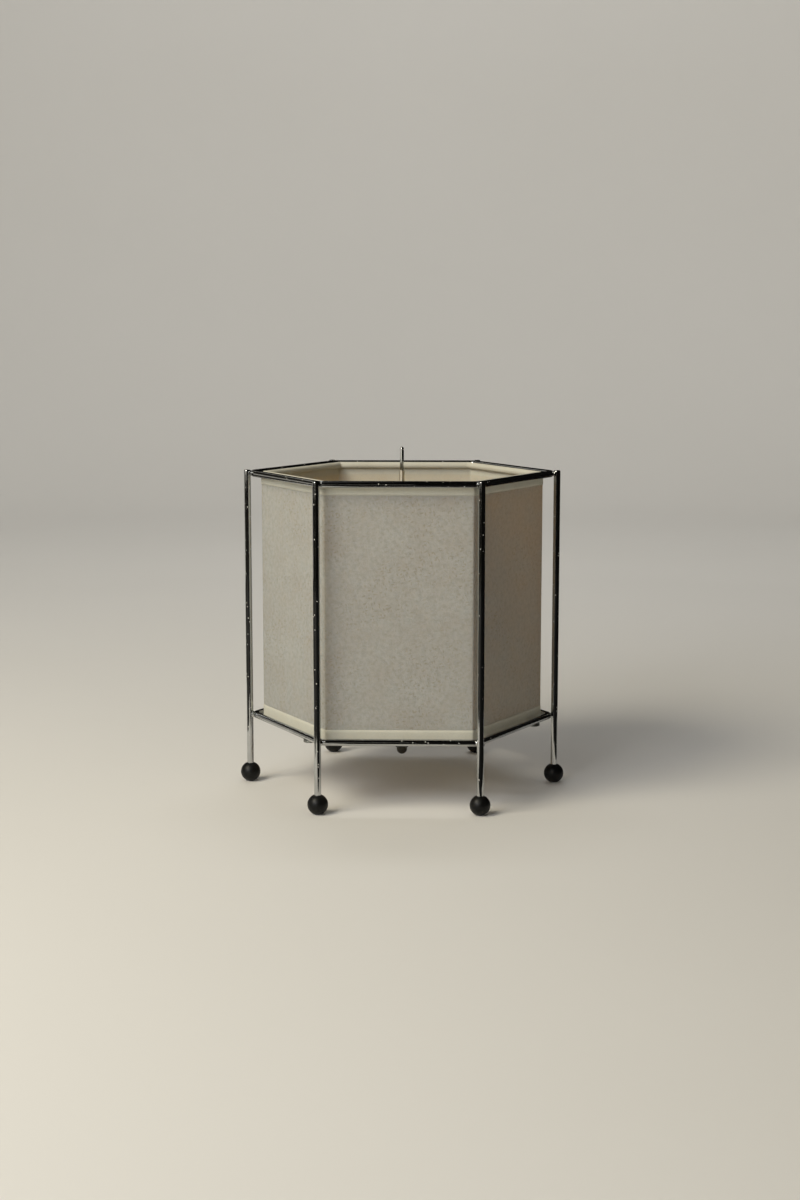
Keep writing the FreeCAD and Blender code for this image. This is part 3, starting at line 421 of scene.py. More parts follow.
def grow(tree, name, wall=0.0, **values):
    piece = new_object(name, new_mesh(name, []))
    growth = piece.modifiers.new("growth", "NODES")
    growth.node_group = tree
    for item in tree.interface.items_tree:
        if item.in_out == "INPUT":
            growth[item.identifier] = values[item.name]
    if wall:
        shell = piece.modifiers.new("wall", "SOLIDIFY")
        shell.thickness, shell.offset, shell.use_even_offset = wall, 0.0, True
    graph = bpy.context.evaluated_depsgraph_get()
    mesh = bpy.data.meshes.new_from_object(
        piece.evaluated_get(graph), preserve_all_data_layers=True, depsgraph=graph)
    piece.modifiers.clear()
    piece.data = mesh
    mesh.name = name
    print(f"{name}: {len(mesh.vertices)} points, {len(mesh.polygons)} faces")
    return piece


def fit(piece, body, slot, *replaced):
    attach(piece, body)
    if replaced:
        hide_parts(*replaced)


print("object and tree helpers ready")

# %% [markdown]
# ## The two rings
# Each ring is one length of rod bent to a hexagon and welded shut. A rod is a circle swept along a path,
# which is what Curve to Mesh does: a six-point circle gives the path, Fillet Curve gives it the bender's
# radius, and a small circle is the rod. The path keeps its length and the small circle its direction, for
# the chrome's drawing lines.

# %% Bend the rings
STORE = "GeometryNodeStoreNamedAttribute"
SIDES = 6
CORNER_TURN = 2 * math.pi / SIDES
RING_BEND, BEND_STEPS, ROUND = 8 * MM, 14, 32
tree, inputs = new_tree("bent rod ring", corner="Float", bend="Float", rod="Float", height="Float",
                        material="Material")
path = add(tree, "GeometryNodeCurvePrimitiveCircle", {"Resolution": SIDES, "Radius": inputs["corner"]})
rounded = add(tree, "GeometryNodeFilletCurve", {"Curve": path, "Radius": inputs["bend"], "Count": BEND_STEPS},
              mode="POLY")
length = add(tree, "GeometryNodeSplineParameter").outputs["Length"]
measured = add(tree, STORE, {"Geometry": rounded, "Name": "along", "Value": length})
section = add(tree, "GeometryNodeCurvePrimitiveCircle", {"Resolution": ROUND, "Radius": inputs["rod"]})
position = add(tree, "GeometryNodeInputPosition")
direction = add(tree, VECTOR, [position], operation="NORMALIZE")
facing = add(tree, STORE, {"Geometry": section, "Name": "around", "Value": direction},
             data_type="FLOAT_VECTOR")
swept = add(tree, "GeometryNodeCurveToMesh", {"Curve": measured, "Profile Curve": facing})
lift = add(tree, "ShaderNodeCombineXYZ", {"Z": inputs["height"]})
lifted = add(tree, "GeometryNodeTransform", {"Geometry": swept, "Translation": lift})
close_tree(tree, lifted, inputs["material"])
for ring, height in ring_heights.items():
    piece = grow(tree, ring + "_rod", corner=RING_FACE / math.cos(CORNER_TURN / 2), bend=RING_BEND, rod=ROD,
                 height=height, material=chrome)
    fit(piece, "frame", "chrome_rod", ring)

# %% [markdown]
# ## Turned shapes
# Legs, balls, bulbs and the studio floor are all turned: a half-outline spun round an upright axis. A short
# function does this for any outline from bottom to top. An outline point on the axis becomes a single pole
# point, so the ends close. It stores the same two attributes as the rings.

# %% Lathe
ON_AXIS = 1e-7


def turned_shape(name, outline, steps, material):
    points, faces, rows, around_values, along_values = [], [], [], [], []
    for radius, height in outline:
        count = 1 if radius < ON_AXIS else steps
        rows.append(range(len(points), len(points) + count))
        for step in range(count):
            turn = 2 * math.pi * step / steps
            points.append((radius * math.cos(turn), radius * math.sin(turn), height))
            around_values.extend((math.cos(turn), math.sin(turn), 0.0) if count > 1 else (0.0, 0.0, 0.0))
            along_values.append(height)
    for lower, upper in zip(rows, rows[1:]):
        for step in range(steps):
            after = (step + 1) % steps
            if len(lower) == 1:
                faces.append((lower[0], upper[after], upper[step]))
            elif len(upper) == 1:
                faces.append((lower[step], lower[after], upper[0]))
            else:
                faces.append((lower[step], lower[after], upper[after], upper[step]))
    mesh = new_mesh(name, points, faces)
    mesh.attributes.new("around", "FLOAT_VECTOR", "POINT").data.foreach_set("vector", around_values)
    mesh.attributes.new("along", "FLOAT", "POINT").data.foreach_set("value", along_values)
    mesh.shade_smooth()
    mesh.materials.append(material)
    mesh.validate()
    return new_object(name, mesh)


def arc(centre, radius, start, end, count):
    """Outline points on an arc, angles in degrees from the outward direction."""
    angles = [math.radians(start + (end - start) * step / count) for step in range(count + 1)]
    return [(centre[0] + radius * math.cos(a), centre[1] + radius * math.sin(a)) for a in angles]


print("lathe ready")

# %% [markdown]
# ## Leg and ball foot
# One leg and one ball are turned as patterns. The leg is sawn off and its upper edge is broken by a round.
# The ball has a drilled seat for the leg, with a small chamfer, and the flat that it stands on.

# %% Turn a leg and a ball foot
LEG_ROUND, LEG_ROWS, END_ROW, EDGE_STEPS = 1 * MM, 24, 0.15 * MM, 6
leg_bottom, leg_top = leg_low.z, leg_high.z
shoulder = leg_top - LEG_ROUND
leg_rows = [leg_bottom + (shoulder - leg_bottom) * row / LEG_ROWS for row in range(LEG_ROWS + 1)]
# a row close to each end keeps the shading straight: without it the mirror would bend towards the ends
leg_rows = sorted(leg_rows + [leg_bottom + END_ROW, shoulder - END_ROW])
leg_outline = [(0, leg_bottom)] + [(ROD, height) for height in leg_rows]
leg_outline += arc((ROD - LEG_ROUND, shoulder), LEG_ROUND, 0, 90, EDGE_STEPS)[1:] + [(0, leg_top)]
leg = turned_shape("leg_pattern", leg_outline, ROUND, chrome)

CHAMFER_DEEP, CHAMFER_WIDE, BALL_FLAT, SEAT_GAP = 0.25 * MM, 0.35 * MM, 2.5 * MM, 0.05 * MM
BALL_STEPS, BALL_ROUND = 30, 48
foot_low, foot_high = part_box("ball_foot_1")
BALL = (foot_high.y - foot_low.y) / 2
ball_centre = foot_low.z + math.sqrt(BALL ** 2 - BALL_FLAT ** 2)
seat = ROD + SEAT_GAP
first = -math.degrees(math.acos(BALL_FLAT / BALL))
last = math.degrees(math.acos((seat + CHAMFER_WIDE) / BALL))
ball_outline = [(0, foot_low.z)] + arc((0, ball_centre), BALL, first, last, BALL_STEPS)
ball_outline += [(seat, ball_outline[-1][1] - CHAMFER_DEEP), (seat, leg_bottom), (0, leg_bottom)]
ball = turned_shape("ball_pattern", ball_outline, BALL_ROUND, ball_black)
print(f"leg of {len(leg_outline)} rows, ball of {2 * BALL / MM:.1f} mm")

# %% [markdown]
# ## Six legs, six feet
# The legs stand at the corners of the hexagon. One tree sets six copies of a pattern on a six-point circle,
# each turned to face outwards, and then the patterns go.

# %% Set out the legs and feet
tree, inputs = new_tree("six round the circle", part="Object", radius="Float", material="Material")
corners = add(tree, "GeometryNodeMeshCircle", {"Vertices": SIDES, "Radius": inputs["radius"]})
position = add(tree, "GeometryNodeInputPosition")
outwards = add(tree, "FunctionNodeAlignRotationToVector", {"Vector": position}, axis="X")
part = add(tree, "GeometryNodeObjectInfo", {"Object": inputs["part"]})
copies = add(tree, "GeometryNodeInstanceOnPoints", {
    "Points": corners, "Instance": part.outputs["Geometry"], "Rotation": outwards})
close_tree(tree, copies, inputs["material"])
for pattern, name, finish, slot, stem in (
        (leg, "legs", chrome, "chrome_rod", "leg_"),
        (ball, "ball_feet", ball_black, "ball_black", "ball_foot_")):
    piece = grow(tree, name, part=pattern, radius=LEG_CIRCLE, material=finish)
    fit(piece, "frame", slot, *[stem + str(number) for number in range(1, SIDES + 1)])
    bpy.data.objects.remove(pattern)

# %% [markdown]
# ## Weld spots
# Where a ring's bend meets a leg it is welded on both sides, and so is each of the three arms where it
# crosses under the bottom ring. The arms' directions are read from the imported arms.

# %% Find the weld spots
WELD_IN, WELD_ASIDE = 2.6 * MM, 2.0 * MM


def spot_pair(out, turn, facing, height):
    """Spots on both sides of a joint: `turn` leads out to it, and `facing` is the way that its rod faces."""
    x, y = out * math.cos(turn), out * math.sin(turn)
    return [(x - aside * math.sin(facing), y + aside * math.cos(facing), height)
            for aside in (-WELD_ASIDE, WELD_ASIDE)]


spots = []
for height in ring_heights.values():
    for corner in range(SIDES):
        spots += spot_pair(LEG_CIRCLE - WELD_IN, corner * CORNER_TURN, corner * CORNER_TURN, height)
for number in (1, 2, 3):
    arm_points = [vertex.co for vertex in nodes[f"spider_arm_{number}"].data.vertices]
    tip = max(arm_points, key=lambda point: math.hypot(point.x, point.y))
    turn = math.atan2(tip.y, tip.x)
    bar_turn = CORNER_TURN * (math.floor(turn / CORNER_TURN) + 0.5)
    crossing = RING_FACE / math.cos(turn - bar_turn)
    spots += spot_pair(crossing, turn, bar_turn, ring_heights["bottom_ring"] - ROD)
spot_object = new_object("weld_spots", new_mesh("weld_spots", spots))
print("weld spots:", len(spots))

# %% [markdown]
# ## Weld beads
# The beads were plated over with the rest. A bead is a small lump with an uneven skin, never twice the
# same, so the tree puts a ball on each spot, stretches it by seeded chance and pushes its points about with
# noise.

# %% Weld beads
BEAD_SIZE, BEAD_UNEVEN, BEAD_SEED = (1.55 * MM, 1.5 * MM, 2.3 * MM), 0.9 * MM, 5
LEAST, MOST, MIDDLE = (0.8, 0.8, 0.8), (1.15, 1.15, 1.25), (0.5, 0.5, 0.5)
tree, inputs = new_tree("weld beads", spots="Object", size="Vector", unevenness="Float", seed="Int",
                        material="Material")
where = add(tree, "GeometryNodeObjectInfo", {"Object": inputs["spots"]})
position = add(tree, "GeometryNodeInputPosition")
flat_place = add(tree, VECTOR, [position, (1, 1, 0)], operation="MULTIPLY")
outwards = add(tree, "FunctionNodeAlignRotationToVector", {"Vector": flat_place}, axis="X")
chance = add(tree, "FunctionNodeRandomValue", {0: LEAST, 1: MOST, "Seed": inputs["seed"]},
             data_type="FLOAT_VECTOR")
size = add(tree, VECTOR, [inputs["size"], chance], operation="MULTIPLY")
lump = add(tree, "GeometryNodeMeshIcoSphere", {"Subdivisions": 4})
beads = add(tree, "GeometryNodeInstanceOnPoints", {
    "Points": where.outputs["Geometry"], "Instance": lump, "Rotation": outwards, "Scale": size})
real = add(tree, "GeometryNodeRealizeInstances", {"Geometry": beads})
ripple = add(tree, NOISE, {"Vector": position, "Scale": per_mm(1.4), "Detail": 1.0})
swing = add(tree, VECTOR, [ripple.outputs["Color"], MIDDLE], operation="SUBTRACT")
push = add(tree, VECTOR, {0: swing, "Scale": inputs["unevenness"]}, operation="SCALE")
lumpy = add(tree, "GeometryNodeSetPosition", {"Geometry": real, "Offset": push})
close_tree(tree, lumpy, inputs["material"])
piece = grow(tree, "weld_beads", spots=spot_object, size=BEAD_SIZE, unevenness=BEAD_UNEVEN, seed=BEAD_SEED,
             material=chrome)
fit(piece, "frame", "chrome_rod")
bpy.data.objects.remove(spot_object)

# %% [markdown]
# ## The paper shade: its section
# The shade is one strip of paper folded into six faces. At its top and bottom the strip goes inwards round
# a hexagonal wire and comes back outside, where it is glued to itself. That gives the smooth pale band,
# 12 mm wide, along each edge, because the flap shows the paper's back. The section is drawn once, from the
# flap's edge at the bottom, round the wire, up the face and round the upper wire. The spare middle
# coordinate of each point keeps the distance along the paper, which becomes the paper's texture coordinate.

# %% Draw the hem section
PAPER_WALL, PLY_GAP, HEM, FOLD, HEM_EDGE = 0.32 * MM, 0.36 * MM, 12 * MM, 1.0 * MM, 0.25 * MM
FLAP_STEPS, ROLL_STEPS, FOLD_STEPS, FACE_ROWS = 4, 30, 5, 52
flap_out = SHADE_FACE - PAPER_WALL / 2
sheet_out = flap_out - PLY_GAP
roll = HEM_ROLL - PAPER_WALL / 2
# the lower hem, from the flap's edge round the wire to the foot of the face, heights from the lower edge
hem = [(flap_out, HEM - (HEM - HEM_ROLL) * step / FLAP_STEPS) for step in range(FLAP_STEPS)]
hem += arc((SHADE_FACE - HEM_ROLL, HEM_ROLL), roll, 0, -270, ROLL_STEPS)
hem += arc((sheet_out - FOLD, HEM_ROLL + roll + FOLD), FOLD, -90, 0, FOLD_STEPS)
face_low, face_high = SHADE_BOTTOM + hem[-1][1], SHADE_TOP - hem[-1][1]
face_heights = [face_low + (face_high - face_low) * row / FACE_ROWS for row in range(1, FACE_ROWS)]
# a close pair of rows keeps the step from one ply to two sharp
for edge in (SHADE_BOTTOM + HEM, SHADE_TOP - HEM):
    face_heights = [height for height in face_heights if abs(height - edge) > 4 * HEM_EDGE]
    face_heights += [edge - HEM_EDGE, edge + HEM_EDGE]
section = [(out, SHADE_BOTTOM + up) for out, up in hem]
section += [(sheet_out, height) for height in sorted(face_heights)]
section += [(out, SHADE_TOP - up) for out, up in reversed(hem)]
doubled = HEM + HEM_EDGE / 2
plies = [1.0 if min(up - SHADE_BOTTOM, SHADE_TOP - up) < doubled else 0.0 for out, up in section]
section_points, distance = [], 0.0
for number, (out, up) in enumerate(section):
    if number:
        distance += math.dist(section[number - 1], (out, up))
    section_points.append((out, distance, up))
section_object = new_object("hem_section", new_mesh("hem_section", section_points))
section_object.data.attributes.new("plies", "FLOAT", "POINT").data.foreach_set("value", plies)
print(f"section: {len(section)} points, {distance / MM:.1f} mm of paper from flap to flap")

# %% [markdown]
# ## The paper shade: places on the strip
# The shade follows a rule, so a tree makes it: take a flat grid, read each point's place across the grid as
# a place round the hexagon and its row as a point of the section, and move it there. The tree first finds
# each point's face, its place across that face from -1 to 1, with the points gathered near the corners, and
# its point of the section.

# %% Lay out the strip
GATHER, NUDGE = 1.7, 1e-4
tree, inputs = new_tree(
    "folded paper shade", section="Object", rows="Int", columns="Int", sheet="Float", low="Float",
    high="Float", softness="Float", pinch="Float", belly="Float", seed="Float", material="Material")
across = add(tree, MATH, [inputs["columns"], SIDES, 1.0], operation="MULTIPLY_ADD")
grid = add(tree, "GeometryNodeMeshGrid", {"Vertices X": across, "Vertices Y": inputs["rows"]})
spot = add(tree, "ShaderNodeSeparateXYZ", [grid.outputs["UV Map"]]).outputs
six = add(tree, MATH, [spot["X"], SIDES], operation="MULTIPLY")
nudged = add(tree, MATH, [six, NUDGE], operation="ADD")
whole = add(tree, MATH, [nudged], operation="FLOOR")
side = add(tree, MATH, [whole, SIDES - 1], operation="MINIMUM")
local = add(tree, MATH, [six, side], operation="SUBTRACT")
even = add(tree, MATH, [local, 2.0, -1.0], operation="MULTIPLY_ADD")
size = add(tree, MATH, [even], operation="ABSOLUTE")
rest = add(tree, MATH, [1.0, size], operation="SUBTRACT")
some_rest = add(tree, MATH, [rest, 0.0], operation="MAXIMUM")
less_rest = add(tree, MATH, [some_rest, GATHER], operation="POWER")
reach = add(tree, MATH, [1.0, less_rest], operation="SUBTRACT")
sign = add(tree, MATH, [even], operation="SIGN")
aside = add(tree, MATH, [reach, sign], operation="MULTIPLY")
last_row = add(tree, MATH, [inputs["rows"], 1.0], operation="SUBTRACT")
climb = add(tree, MATH, [spot["Y"], last_row], operation="MULTIPLY")
row = add(tree, MATH, [climb], operation="ROUND")
drawn = add(tree, "GeometryNodeObjectInfo", {"Object": inputs["section"]})
position = add(tree, "GeometryNodeInputPosition")
picked = add(tree, "GeometryNodeSampleIndex", {
    "Geometry": drawn.outputs["Geometry"], "Value": position, "Index": row}, data_type="FLOAT_VECTOR")
point = add(tree, "ShaderNodeSeparateXYZ", [picked]).outputs
print("strip laid out with", len(tree.nodes), "nodes")

# %% [markdown]
# ## The paper shade: corners and faces
# The fold at a corner is pulled in a little to soften it, and the rolls are pinched there as folded paper
# is. Noise that fades to nothing at the corners and edges bellies the faces by a third of a millimetre, as
# real sheets do.

# %% Shape the corners and faces
CORNER_WIDTH, PINCH_WIDTH, BELLY_FLAT = 0.03, 0.12, 0.4
HALF_SLOPE = math.tan(CORNER_TURN / 2)
corner = add(tree, RANGE, {"Value": reach, "From Min": 1 - CORNER_WIDTH}, interpolation_type="SMOOTHSTEP")
pinched = add(tree, RANGE, {"Value": reach, "From Min": 1 - PINCH_WIDTH, "To Max": inputs["pinch"]},
              interpolation_type="SMOOTHSTEP")
inwards = add(tree, MATH, [inputs["sheet"], point["X"]], operation="SUBTRACT")
flatter = add(tree, MATH, [inwards, pinched, point["X"]], operation="MULTIPLY_ADD")
pulled = add(tree, MATH, [corner, inputs["softness"]], operation="MULTIPLY")
out = add(tree, MATH, [flatter, pulled], operation="SUBTRACT")
shift = add(tree, MATH, [out, aside], operation="MULTIPLY")
along_face = add(tree, MATH, [shift, HALF_SLOPE], operation="MULTIPLY")
noise_place = add(tree, "ShaderNodeCombineXYZ", {"X": along_face, "Y": point["Z"], "Z": side})
waves = add(tree, NOISE, {
    "Vector": noise_place, "W": inputs["seed"], "Scale": per_mm(70), "Detail": 1.0}, noise_dimensions="4D")
centred = add(tree, MATH, [waves, 0.5], operation="SUBTRACT")
up_share = add(tree, RANGE, {
    "Value": point["Z"], "From Min": inputs["low"], "From Max": inputs["high"], "To Max": math.pi})
up_fade = add(tree, MATH, [up_share], operation="SINE")
side_fade = add(tree, RANGE, {"Value": reach, "From Min": BELLY_FLAT, "To Min": 1.0, "To Max": 0.0},
                interpolation_type="SMOOTHSTEP")
fade = add(tree, MATH, [up_fade, side_fade], operation="MULTIPLY")
swell = add(tree, MATH, [centred, inputs["belly"]], operation="MULTIPLY")
bellied = add(tree, MATH, [swell, fade, out], operation="MULTIPLY_ADD")
print("corners and faces shaped, now", len(tree.nodes), "nodes")

# %% [markdown]
# ## The paper shade: fold it up
# Each point is turned to its face. Its distances round the shade and along the section become the paper's
# texture coordinate, the count of plies is carried over, and the strip's two ends are joined.

# %% Fold the shade
COLUMNS, MERGE = 24, 0.01 * MM
SOFTNESS, PINCH, BELLY, SHADE_SEED = 0.3 * MM, 0.1, 1.4 * MM, 3.0
face_point = add(tree, "ShaderNodeCombineXYZ", {"X": bellied, "Y": along_face, "Z": point["Z"]})
turn = add(tree, MATH, [side, CORNER_TURN, CORNER_TURN / 2], operation="MULTIPLY_ADD")
placed = add(tree, "ShaderNodeVectorRotate", {"Vector": face_point, "Angle": turn}, rotation_type="Z_AXIS")
folded = add(tree, "GeometryNodeSetPosition", {"Geometry": grid, "Position": placed})
face_share = add(tree, MATH, [aside, 0.5, 0.5], operation="MULTIPLY_ADD")
faces_passed = add(tree, MATH, [side, face_share], operation="ADD")
face_width = 2 * sheet_out * HALF_SLOPE
round_shade = add(tree, MATH, [faces_passed, face_width], operation="MULTIPLY")
paper_place = add(tree, "ShaderNodeCombineXYZ", {"X": round_shade, "Y": point["Y"]})
mapped = add(tree, STORE, {"Geometry": folded, "Name": "UVMap", "Value": paper_place},
             data_type="FLOAT2", domain="CORNER")
drawn_plies = add(tree, "GeometryNodeInputNamedAttribute", {"Name": "plies"})
counted = add(tree, "GeometryNodeSampleIndex", {
    "Geometry": drawn.outputs["Geometry"], "Value": drawn_plies, "Index": row})
marked = add(tree, STORE, {"Geometry": mapped, "Name": "plies", "Value": counted})
closed = add(tree, "GeometryNodeMergeByDistance", {"Geometry": marked, "Distance": MERGE})
close_tree(tree, closed, inputs["material"])
shade = grow(tree, "paper_shade", wall=PAPER_WALL, section=section_object, rows=len(section), columns=COLUMNS,
             sheet=sheet_out, low=SHADE_BOTTOM + HEM, high=SHADE_TOP - HEM, softness=SOFTNESS, pinch=PINCH,
             belly=BELLY, seed=SHADE_SEED, material=paper)
bpy.data.objects.remove(section_object)

# %% [markdown]
# ## The paper shade: face and back
# Solidify keeps the first skin's faces first in the list and adds the second skin's after them. One face
# half-way up tells which skin looks outwards there, and that skin is the paper's face all along the strip.

# %% Mark the paper's back
one_skin = SIDES * COLUMNS * (len(section) - 1)
sample = shade.data.polygons[one_skin // 2 + len(section) // 2]
first_is_face = sample.normal.xy.dot(sample.center.xy) > 0
back_values = [0.0 if (number < one_skin) == first_is_face else 1.0
               for number in range(len(shade.data.polygons))]
shade.data.attributes.new("back", "FLOAT", "FACE").data.foreach_set("value", back_values)
fit(shade, "shade", "shade_paper", *[f"paper_panel_{number}" for number in range(1, SIDES + 1)])
print("faces on the paper's back:", int(sum(back_values)))

# %% [markdown]
# ## Bulb glass
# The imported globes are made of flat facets. A turned outline with more steps gives the smooth glass: a
# straight neck that goes down into the brass cap, a short flare and the globe.

# %% Blow the bulbs
GLOBE, NECK, THROAT, GLOBE_STEPS, GLOBE_ROUND = 22.5 * MM, 6.0 * MM, 10.5 * MM, 40, 64
for hand in ("left", "right"):
    low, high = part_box("bulb_glass_" + hand)
    middle = ((low.x + high.x) / 2, (low.y + high.y) / 2)
    neck_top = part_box("bulb_cap_" + hand)[1].z
    start = -math.degrees(math.acos(THROAT / GLOBE))
    globe = arc((0, high.z - GLOBE), GLOBE, start, 90, GLOBE_STEPS)[:-1] + [(0, high.z)]
    flare = [(NECK + (globe[0][0] - NECK) * share ** 2, neck_top + (globe[0][1] - neck_top) * share)
             for share in (0.2, 0.4, 0.6, 0.8)]
    outline = [(0, low.z), (NECK, low.z), (NECK, neck_top)] + flare + globe
    bulb = turned_shape("bulb_globe_" + hand, outline, GLOBE_ROUND, opal)
    for vertex in bulb.data.vertices:
        vertex.co.x += middle[0]
        vertex.co.y += middle[1]
    fit(bulb, "bulb_" + hand, "bulb_glass", "bulb_glass_" + hand)
    print("bulb", hand, "stands at", [round(value / MM, 1) for value in middle])

# %% [markdown]
# ## Return spring
# A coil spring under the push rod's foot lifts the rod again. It is wound from 0.8 mm wire: Curve Spiral
# gives the path and Curve to Mesh the wire.

# %% Wind the spring
SPRING_WIRE, SPRING_PITCH, PRESS = 0.8 * MM, 2.2 * MM, 4 * MM
COIL_STEPS, WIRE_ROUND = 32, 12
low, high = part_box("switch_spring")
rise = high.z - low.z - SPRING_WIRE
tree, inputs = new_tree("wound spring", turns="Float", radius="Float", rise="Float", wire="Float",
                        foot="Float", material="Material")
path = add(tree, "GeometryNodeCurveSpiral", {
    "Resolution": COIL_STEPS, "Rotations": inputs["turns"], "Start Radius": inputs["radius"],
    "End Radius": inputs["radius"], "Height": inputs["rise"]})
section = add(tree, "GeometryNodeCurvePrimitiveCircle", {"Resolution": WIRE_ROUND, "Radius": inputs["wire"]})
wound = add(tree, "GeometryNodeCurveToMesh", {"Curve": path, "Profile Curve": section, "Fill Caps": True})
lift = add(tree, "ShaderNodeCombineXYZ", {"Z": inputs["foot"]})
lifted = add(tree, "GeometryNodeTransform", {"Geometry": wound, "Translation": lift})
close_tree(tree, lifted, inputs["material"])
spring = grow(tree, "return_spring", turns=rise / SPRING_PITCH, radius=(high.x - low.x - SPRING_WIRE) / 2,
              rise=rise, wire=SPRING_WIRE / 2, foot=low.z + SPRING_WIRE / 2,
              material=slot_finish["plated_steel"])
fit(spring, "frame", "plated_steel", "switch_spring")
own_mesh(spring)
print(f"spring of {rise / SPRING_PITCH:.1f} turns, {(high.z - low.z) / MM:.1f} mm long")

# %% [markdown]
# ## Studio floor
# A pale floor that curves up into a wall all round is a studio cyclorama. It is turned like the other round
# shapes, seen from inside, and its matt paint has a faint roller texture.

# %% Floor and wall
FLOOR, SWEEP, WALL = 2.4, 1.0, 2.8
FLOOR_STEPS, SWEEP_STEPS, FLOOR_ROUND = 6, 16, 96
paint, tree = new_material("matt_studio_paint")
place = add(tree, "ShaderNodeTexCoord").outputs["Object"]
roller = add(tree, NOISE, {"Vector": place, "Scale": per_mm(900), "Detail": 3.0})
pale = add(tree, MIX, {0: roller, 6: "#D2D0CB", 7: "#D8D6D2"}, data_type="RGBA")
shader = add(tree, PRINCIPLED, {"Base Color": pale, "Roughness": 0.85, "Specular IOR Level": 0.2})
add(tree, OUTPUT, {"Surface": shader})
floor_outline = [(FLOOR * step / FLOOR_STEPS, 0) for step in range(FLOOR_STEPS + 1)]
floor_outline += arc((FLOOR, SWEEP), SWEEP, -90, 0, SWEEP_STEPS)[1:] + [(FLOOR + SWEEP, WALL)]
floor = turned_shape("studio_floor", floor_outline, FLOOR_ROUND, paint)
floor.data.flip_normals()
print("studio floor", 2 * FLOOR, "m across before it curves up")

# %% [markdown]
# ## Flags and a card
# Polished rod shows whatever stands round it, so photographers set dark flags round chrome: it then reads
# as metal, with dark bodies and thin bright rims. Those on the left are grey, because the rods have a paler
# side there, and one that hangs behind on the left draws dark lines along the two left bars. A narrow white
# card on the low left flag shows only in the thin rod on top, which stands higher than the legs. The floor
# near the feet stays bare, so that the lower legs look silver. Flags and card are seen only in reflections
# and cast no shadow.

# %% Flags
# cloth: two colours and its own light
CLOTHS = {"black": ("#0A0A0A", "#161514", 0.0), "grey": ("#262523", "#33312E", 0.0),
          "white": ("#E4E1D8", "#EFECE4", 0.8)}
flag_cloth = {}
for name, (deep, pale, glow) in CLOTHS.items():
    flag_cloth[name], tree = new_material(name + "_flag_cloth")
    place = add(tree, "ShaderNodeTexCoord").outputs["Object"]
    nap = add(tree, NOISE, {"Vector": place, "Scale": per_mm(40), "Detail": 3.0})
    cloth = add(tree, MIX, {0: nap, 6: deep, 7: pale}, data_type="RGBA")
    shader = add(tree, PRINCIPLED, {
        "Base Color": cloth, "Roughness": 1.0, "Specular IOR Level": 0.1, "Emission Color": cloth,
        "Emission Strength": glow})
    add(tree, OUTPUT, {"Surface": shader})
# heights and distances in metres, the step between two points of a flag in degrees
EDGE, LIFT, LOW, CARD_TOP, HEIGHT, TALL, ROOF, FLAG_STEP = 1.45, 0.003, 0.18, 0.23, 0.35, 1.0, 1.5, 5
# floor flags: cloth, from and to in degrees from +X seen from above (the camera is at 270), inner edge
FLOOR_FLAGS = {
    "back_left": ("grey", 125, 165, 0.6), "left": ("grey", 165, 225, 0.34),
    "front_left": ("grey", 225, 255, 0.42), "front": ("black", 255, 310, 0.19),
    "right": ("black", 310, 370, 0.22), "back_right": ("black", 370, 420, 0.4),
    "back": ("black", 420, 480, 0.22),
}
# all flags: cloth, from and to, and the outline that is carried round, as distances and heights
FLAGS = {
    "flag_back_left": ("grey", 125, 165, [(EDGE, HEIGHT), (EDGE, TALL)]),
    "flag_wall_left": ("grey", 165, 270, [(EDGE, LIFT), (EDGE, LOW)]),
    "white_card_left": ("white", 185, 255, [(EDGE, LOW), (EDGE, CARD_TOP)]),
    "flag_wall_right": ("black", 270, 480, [(EDGE, LIFT), (EDGE, HEIGHT)]),
    "flag_roof": ("black", 240, 480, [(EDGE, HEIGHT), (EDGE, TALL), (0.0, ROOF)]),
}
for name, (cloth, start, end, inner) in FLOOR_FLAGS.items():
    FLAGS["flag_floor_" + name] = (cloth, start, end, [(inner, LIFT), (EDGE, LIFT)])
for name, (cloth, start, end, outline) in FLAGS.items():
    points, faces, wide = [], [], len(outline)
    for step in range((end - start) // FLAG_STEP + 1):
        turn = math.radians(start + FLAG_STEP * step)
        points += [(radius * math.cos(turn), radius * math.sin(turn), height) for radius, height in outline]
        if step:
            here = wide * step
            before = here - wide
            faces += [(before + k, before + k + 1, here + k + 1, here + k) for k in range(wide - 1)]
    flag = new_object(name, new_mesh(name, points, faces))
    flag.data.materials.append(flag_cloth[cloth])
    flag.visible_camera = flag.visible_diffuse = flag.visible_shadow = False
    flag.visible_transmission = flag.visible_volume_scatter = False
print(len(FLAGS), "flags reach", EDGE, "m from the lamp")

# %% [markdown]
# ## Lights
# A large soft lamp in front on the left lights most of what is seen, and a small weak one further left
# rounds off the left faces. One above shines down into the shade, so that the far faces glow with the light
# that comes through them, and one lights the wall behind. A faint even sky fills the rest.

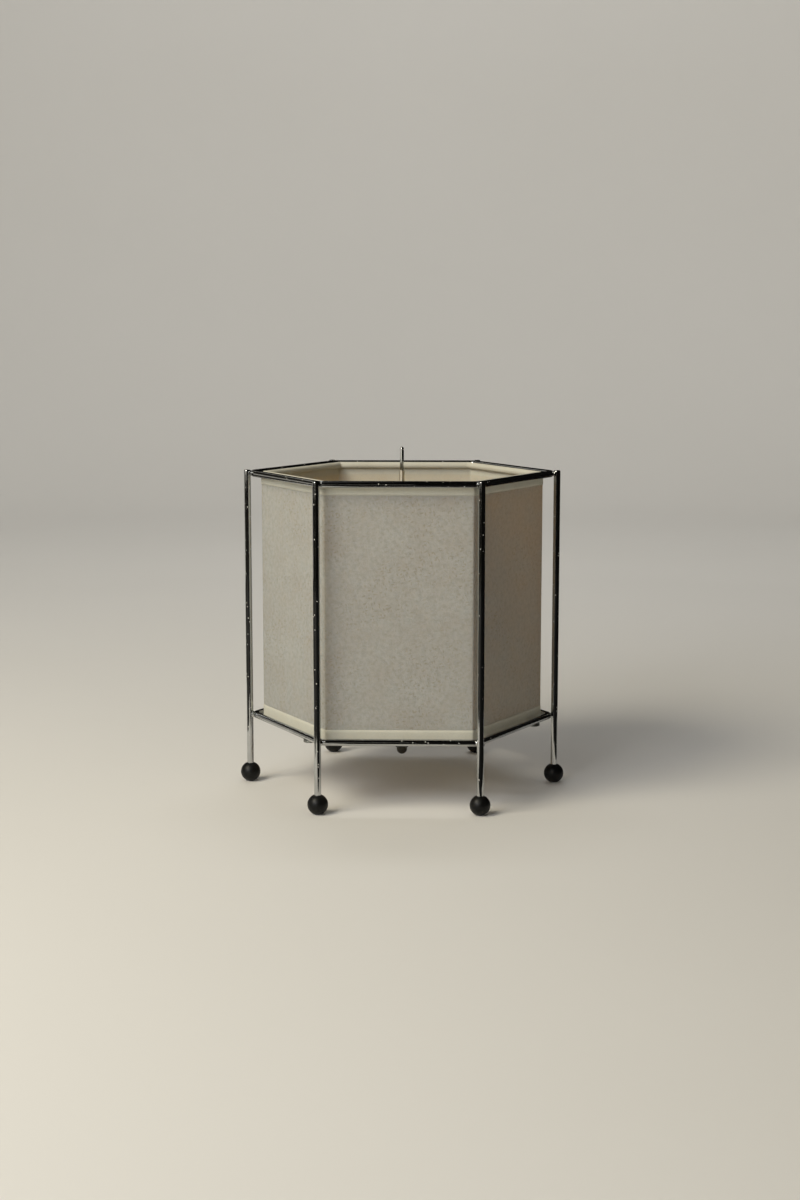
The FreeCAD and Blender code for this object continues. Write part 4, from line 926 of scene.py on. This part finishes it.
# %% Lamps and sky
LAMPS = {
    # name: place, what it is aimed at, size in metres, watts, colour
    "side": ((-1.66, -1.22, 1.05), (0, 0, 0.15), 0.6, 3.5, "#FFFFFF"),
    "front": ((-1.1, -1.9, 1.15), (0, 0, 0.15), 1.1, 23.5, "#FFFFFF"),
    "top": ((-1.2, -0.9, 1.6), (0, 0, 0.15), 0.9, 26, "#FFF6DF"),
    "wall": ((0.0, 1.1, 2.5), (0, 3.2, 0.6), 1.6, 28, "#FFFFFF"),
}
SKY_COLOUR, SKY_STRENGTH = "#F4F4F1", 0.1
for name, (stand, target, width, watts, tint) in LAMPS.items():
    light = bpy.data.lights.new(name, "AREA")
    light.shape, light.size, light.energy, light.color = "DISK", width, watts, colour(tint)[:3]
    lamp = new_object(name, light)
    lamp.location = stand
    aim = [there - here for there, here in zip(target, stand)]
    tilt, swing = math.atan2(math.hypot(aim[0], aim[1]), -aim[2]), math.atan2(aim[1], aim[0]) - math.pi / 2
    lamp.rotation_euler = (tilt, 0, swing)
sky = bpy.data.worlds.new("even_sky")
sky.use_nodes = True
background = sky.node_tree.nodes["Background"].inputs
background["Color"].default_value, background["Strength"].default_value = colour(SKY_COLOUR), SKY_STRENGTH
bpy.context.scene.world = sky
bpy.context.scene.view_settings.view_transform = "Standard"
print("lamps:", ", ".join(LAMPS))

# %% [markdown]
# ## Camera
# The picture was taken from a little above the lamp's top, nearly square to one face. Its place, turn and
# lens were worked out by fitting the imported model's corners to the picture's.

# %% Camera
CAMERA_TURN, CAMERA_DOWN = math.radians(1.31), math.radians(8.42)
CAMERA_ASIDE, CAMERA_BACK, CAMERA_UP = -1.75 * MM, 1748 * MM, 428 * MM
eye = bpy.data.cameras.new("eye")
eye.sensor_width, eye.lens = 36.0, 58.11
camera = new_object("camera", eye)
cosine, sine = math.cos(CAMERA_TURN), math.sin(CAMERA_TURN)
camera.location = (
    CAMERA_ASIDE * cosine + CAMERA_BACK * sine, CAMERA_ASIDE * sine - CAMERA_BACK * cosine, CAMERA_UP)
camera.rotation_euler = (math.pi / 2 - CAMERA_DOWN, 0, CAMERA_TURN)
bpy.context.scene.camera = camera
print("camera at", [round(value, 3) for value in camera.location])
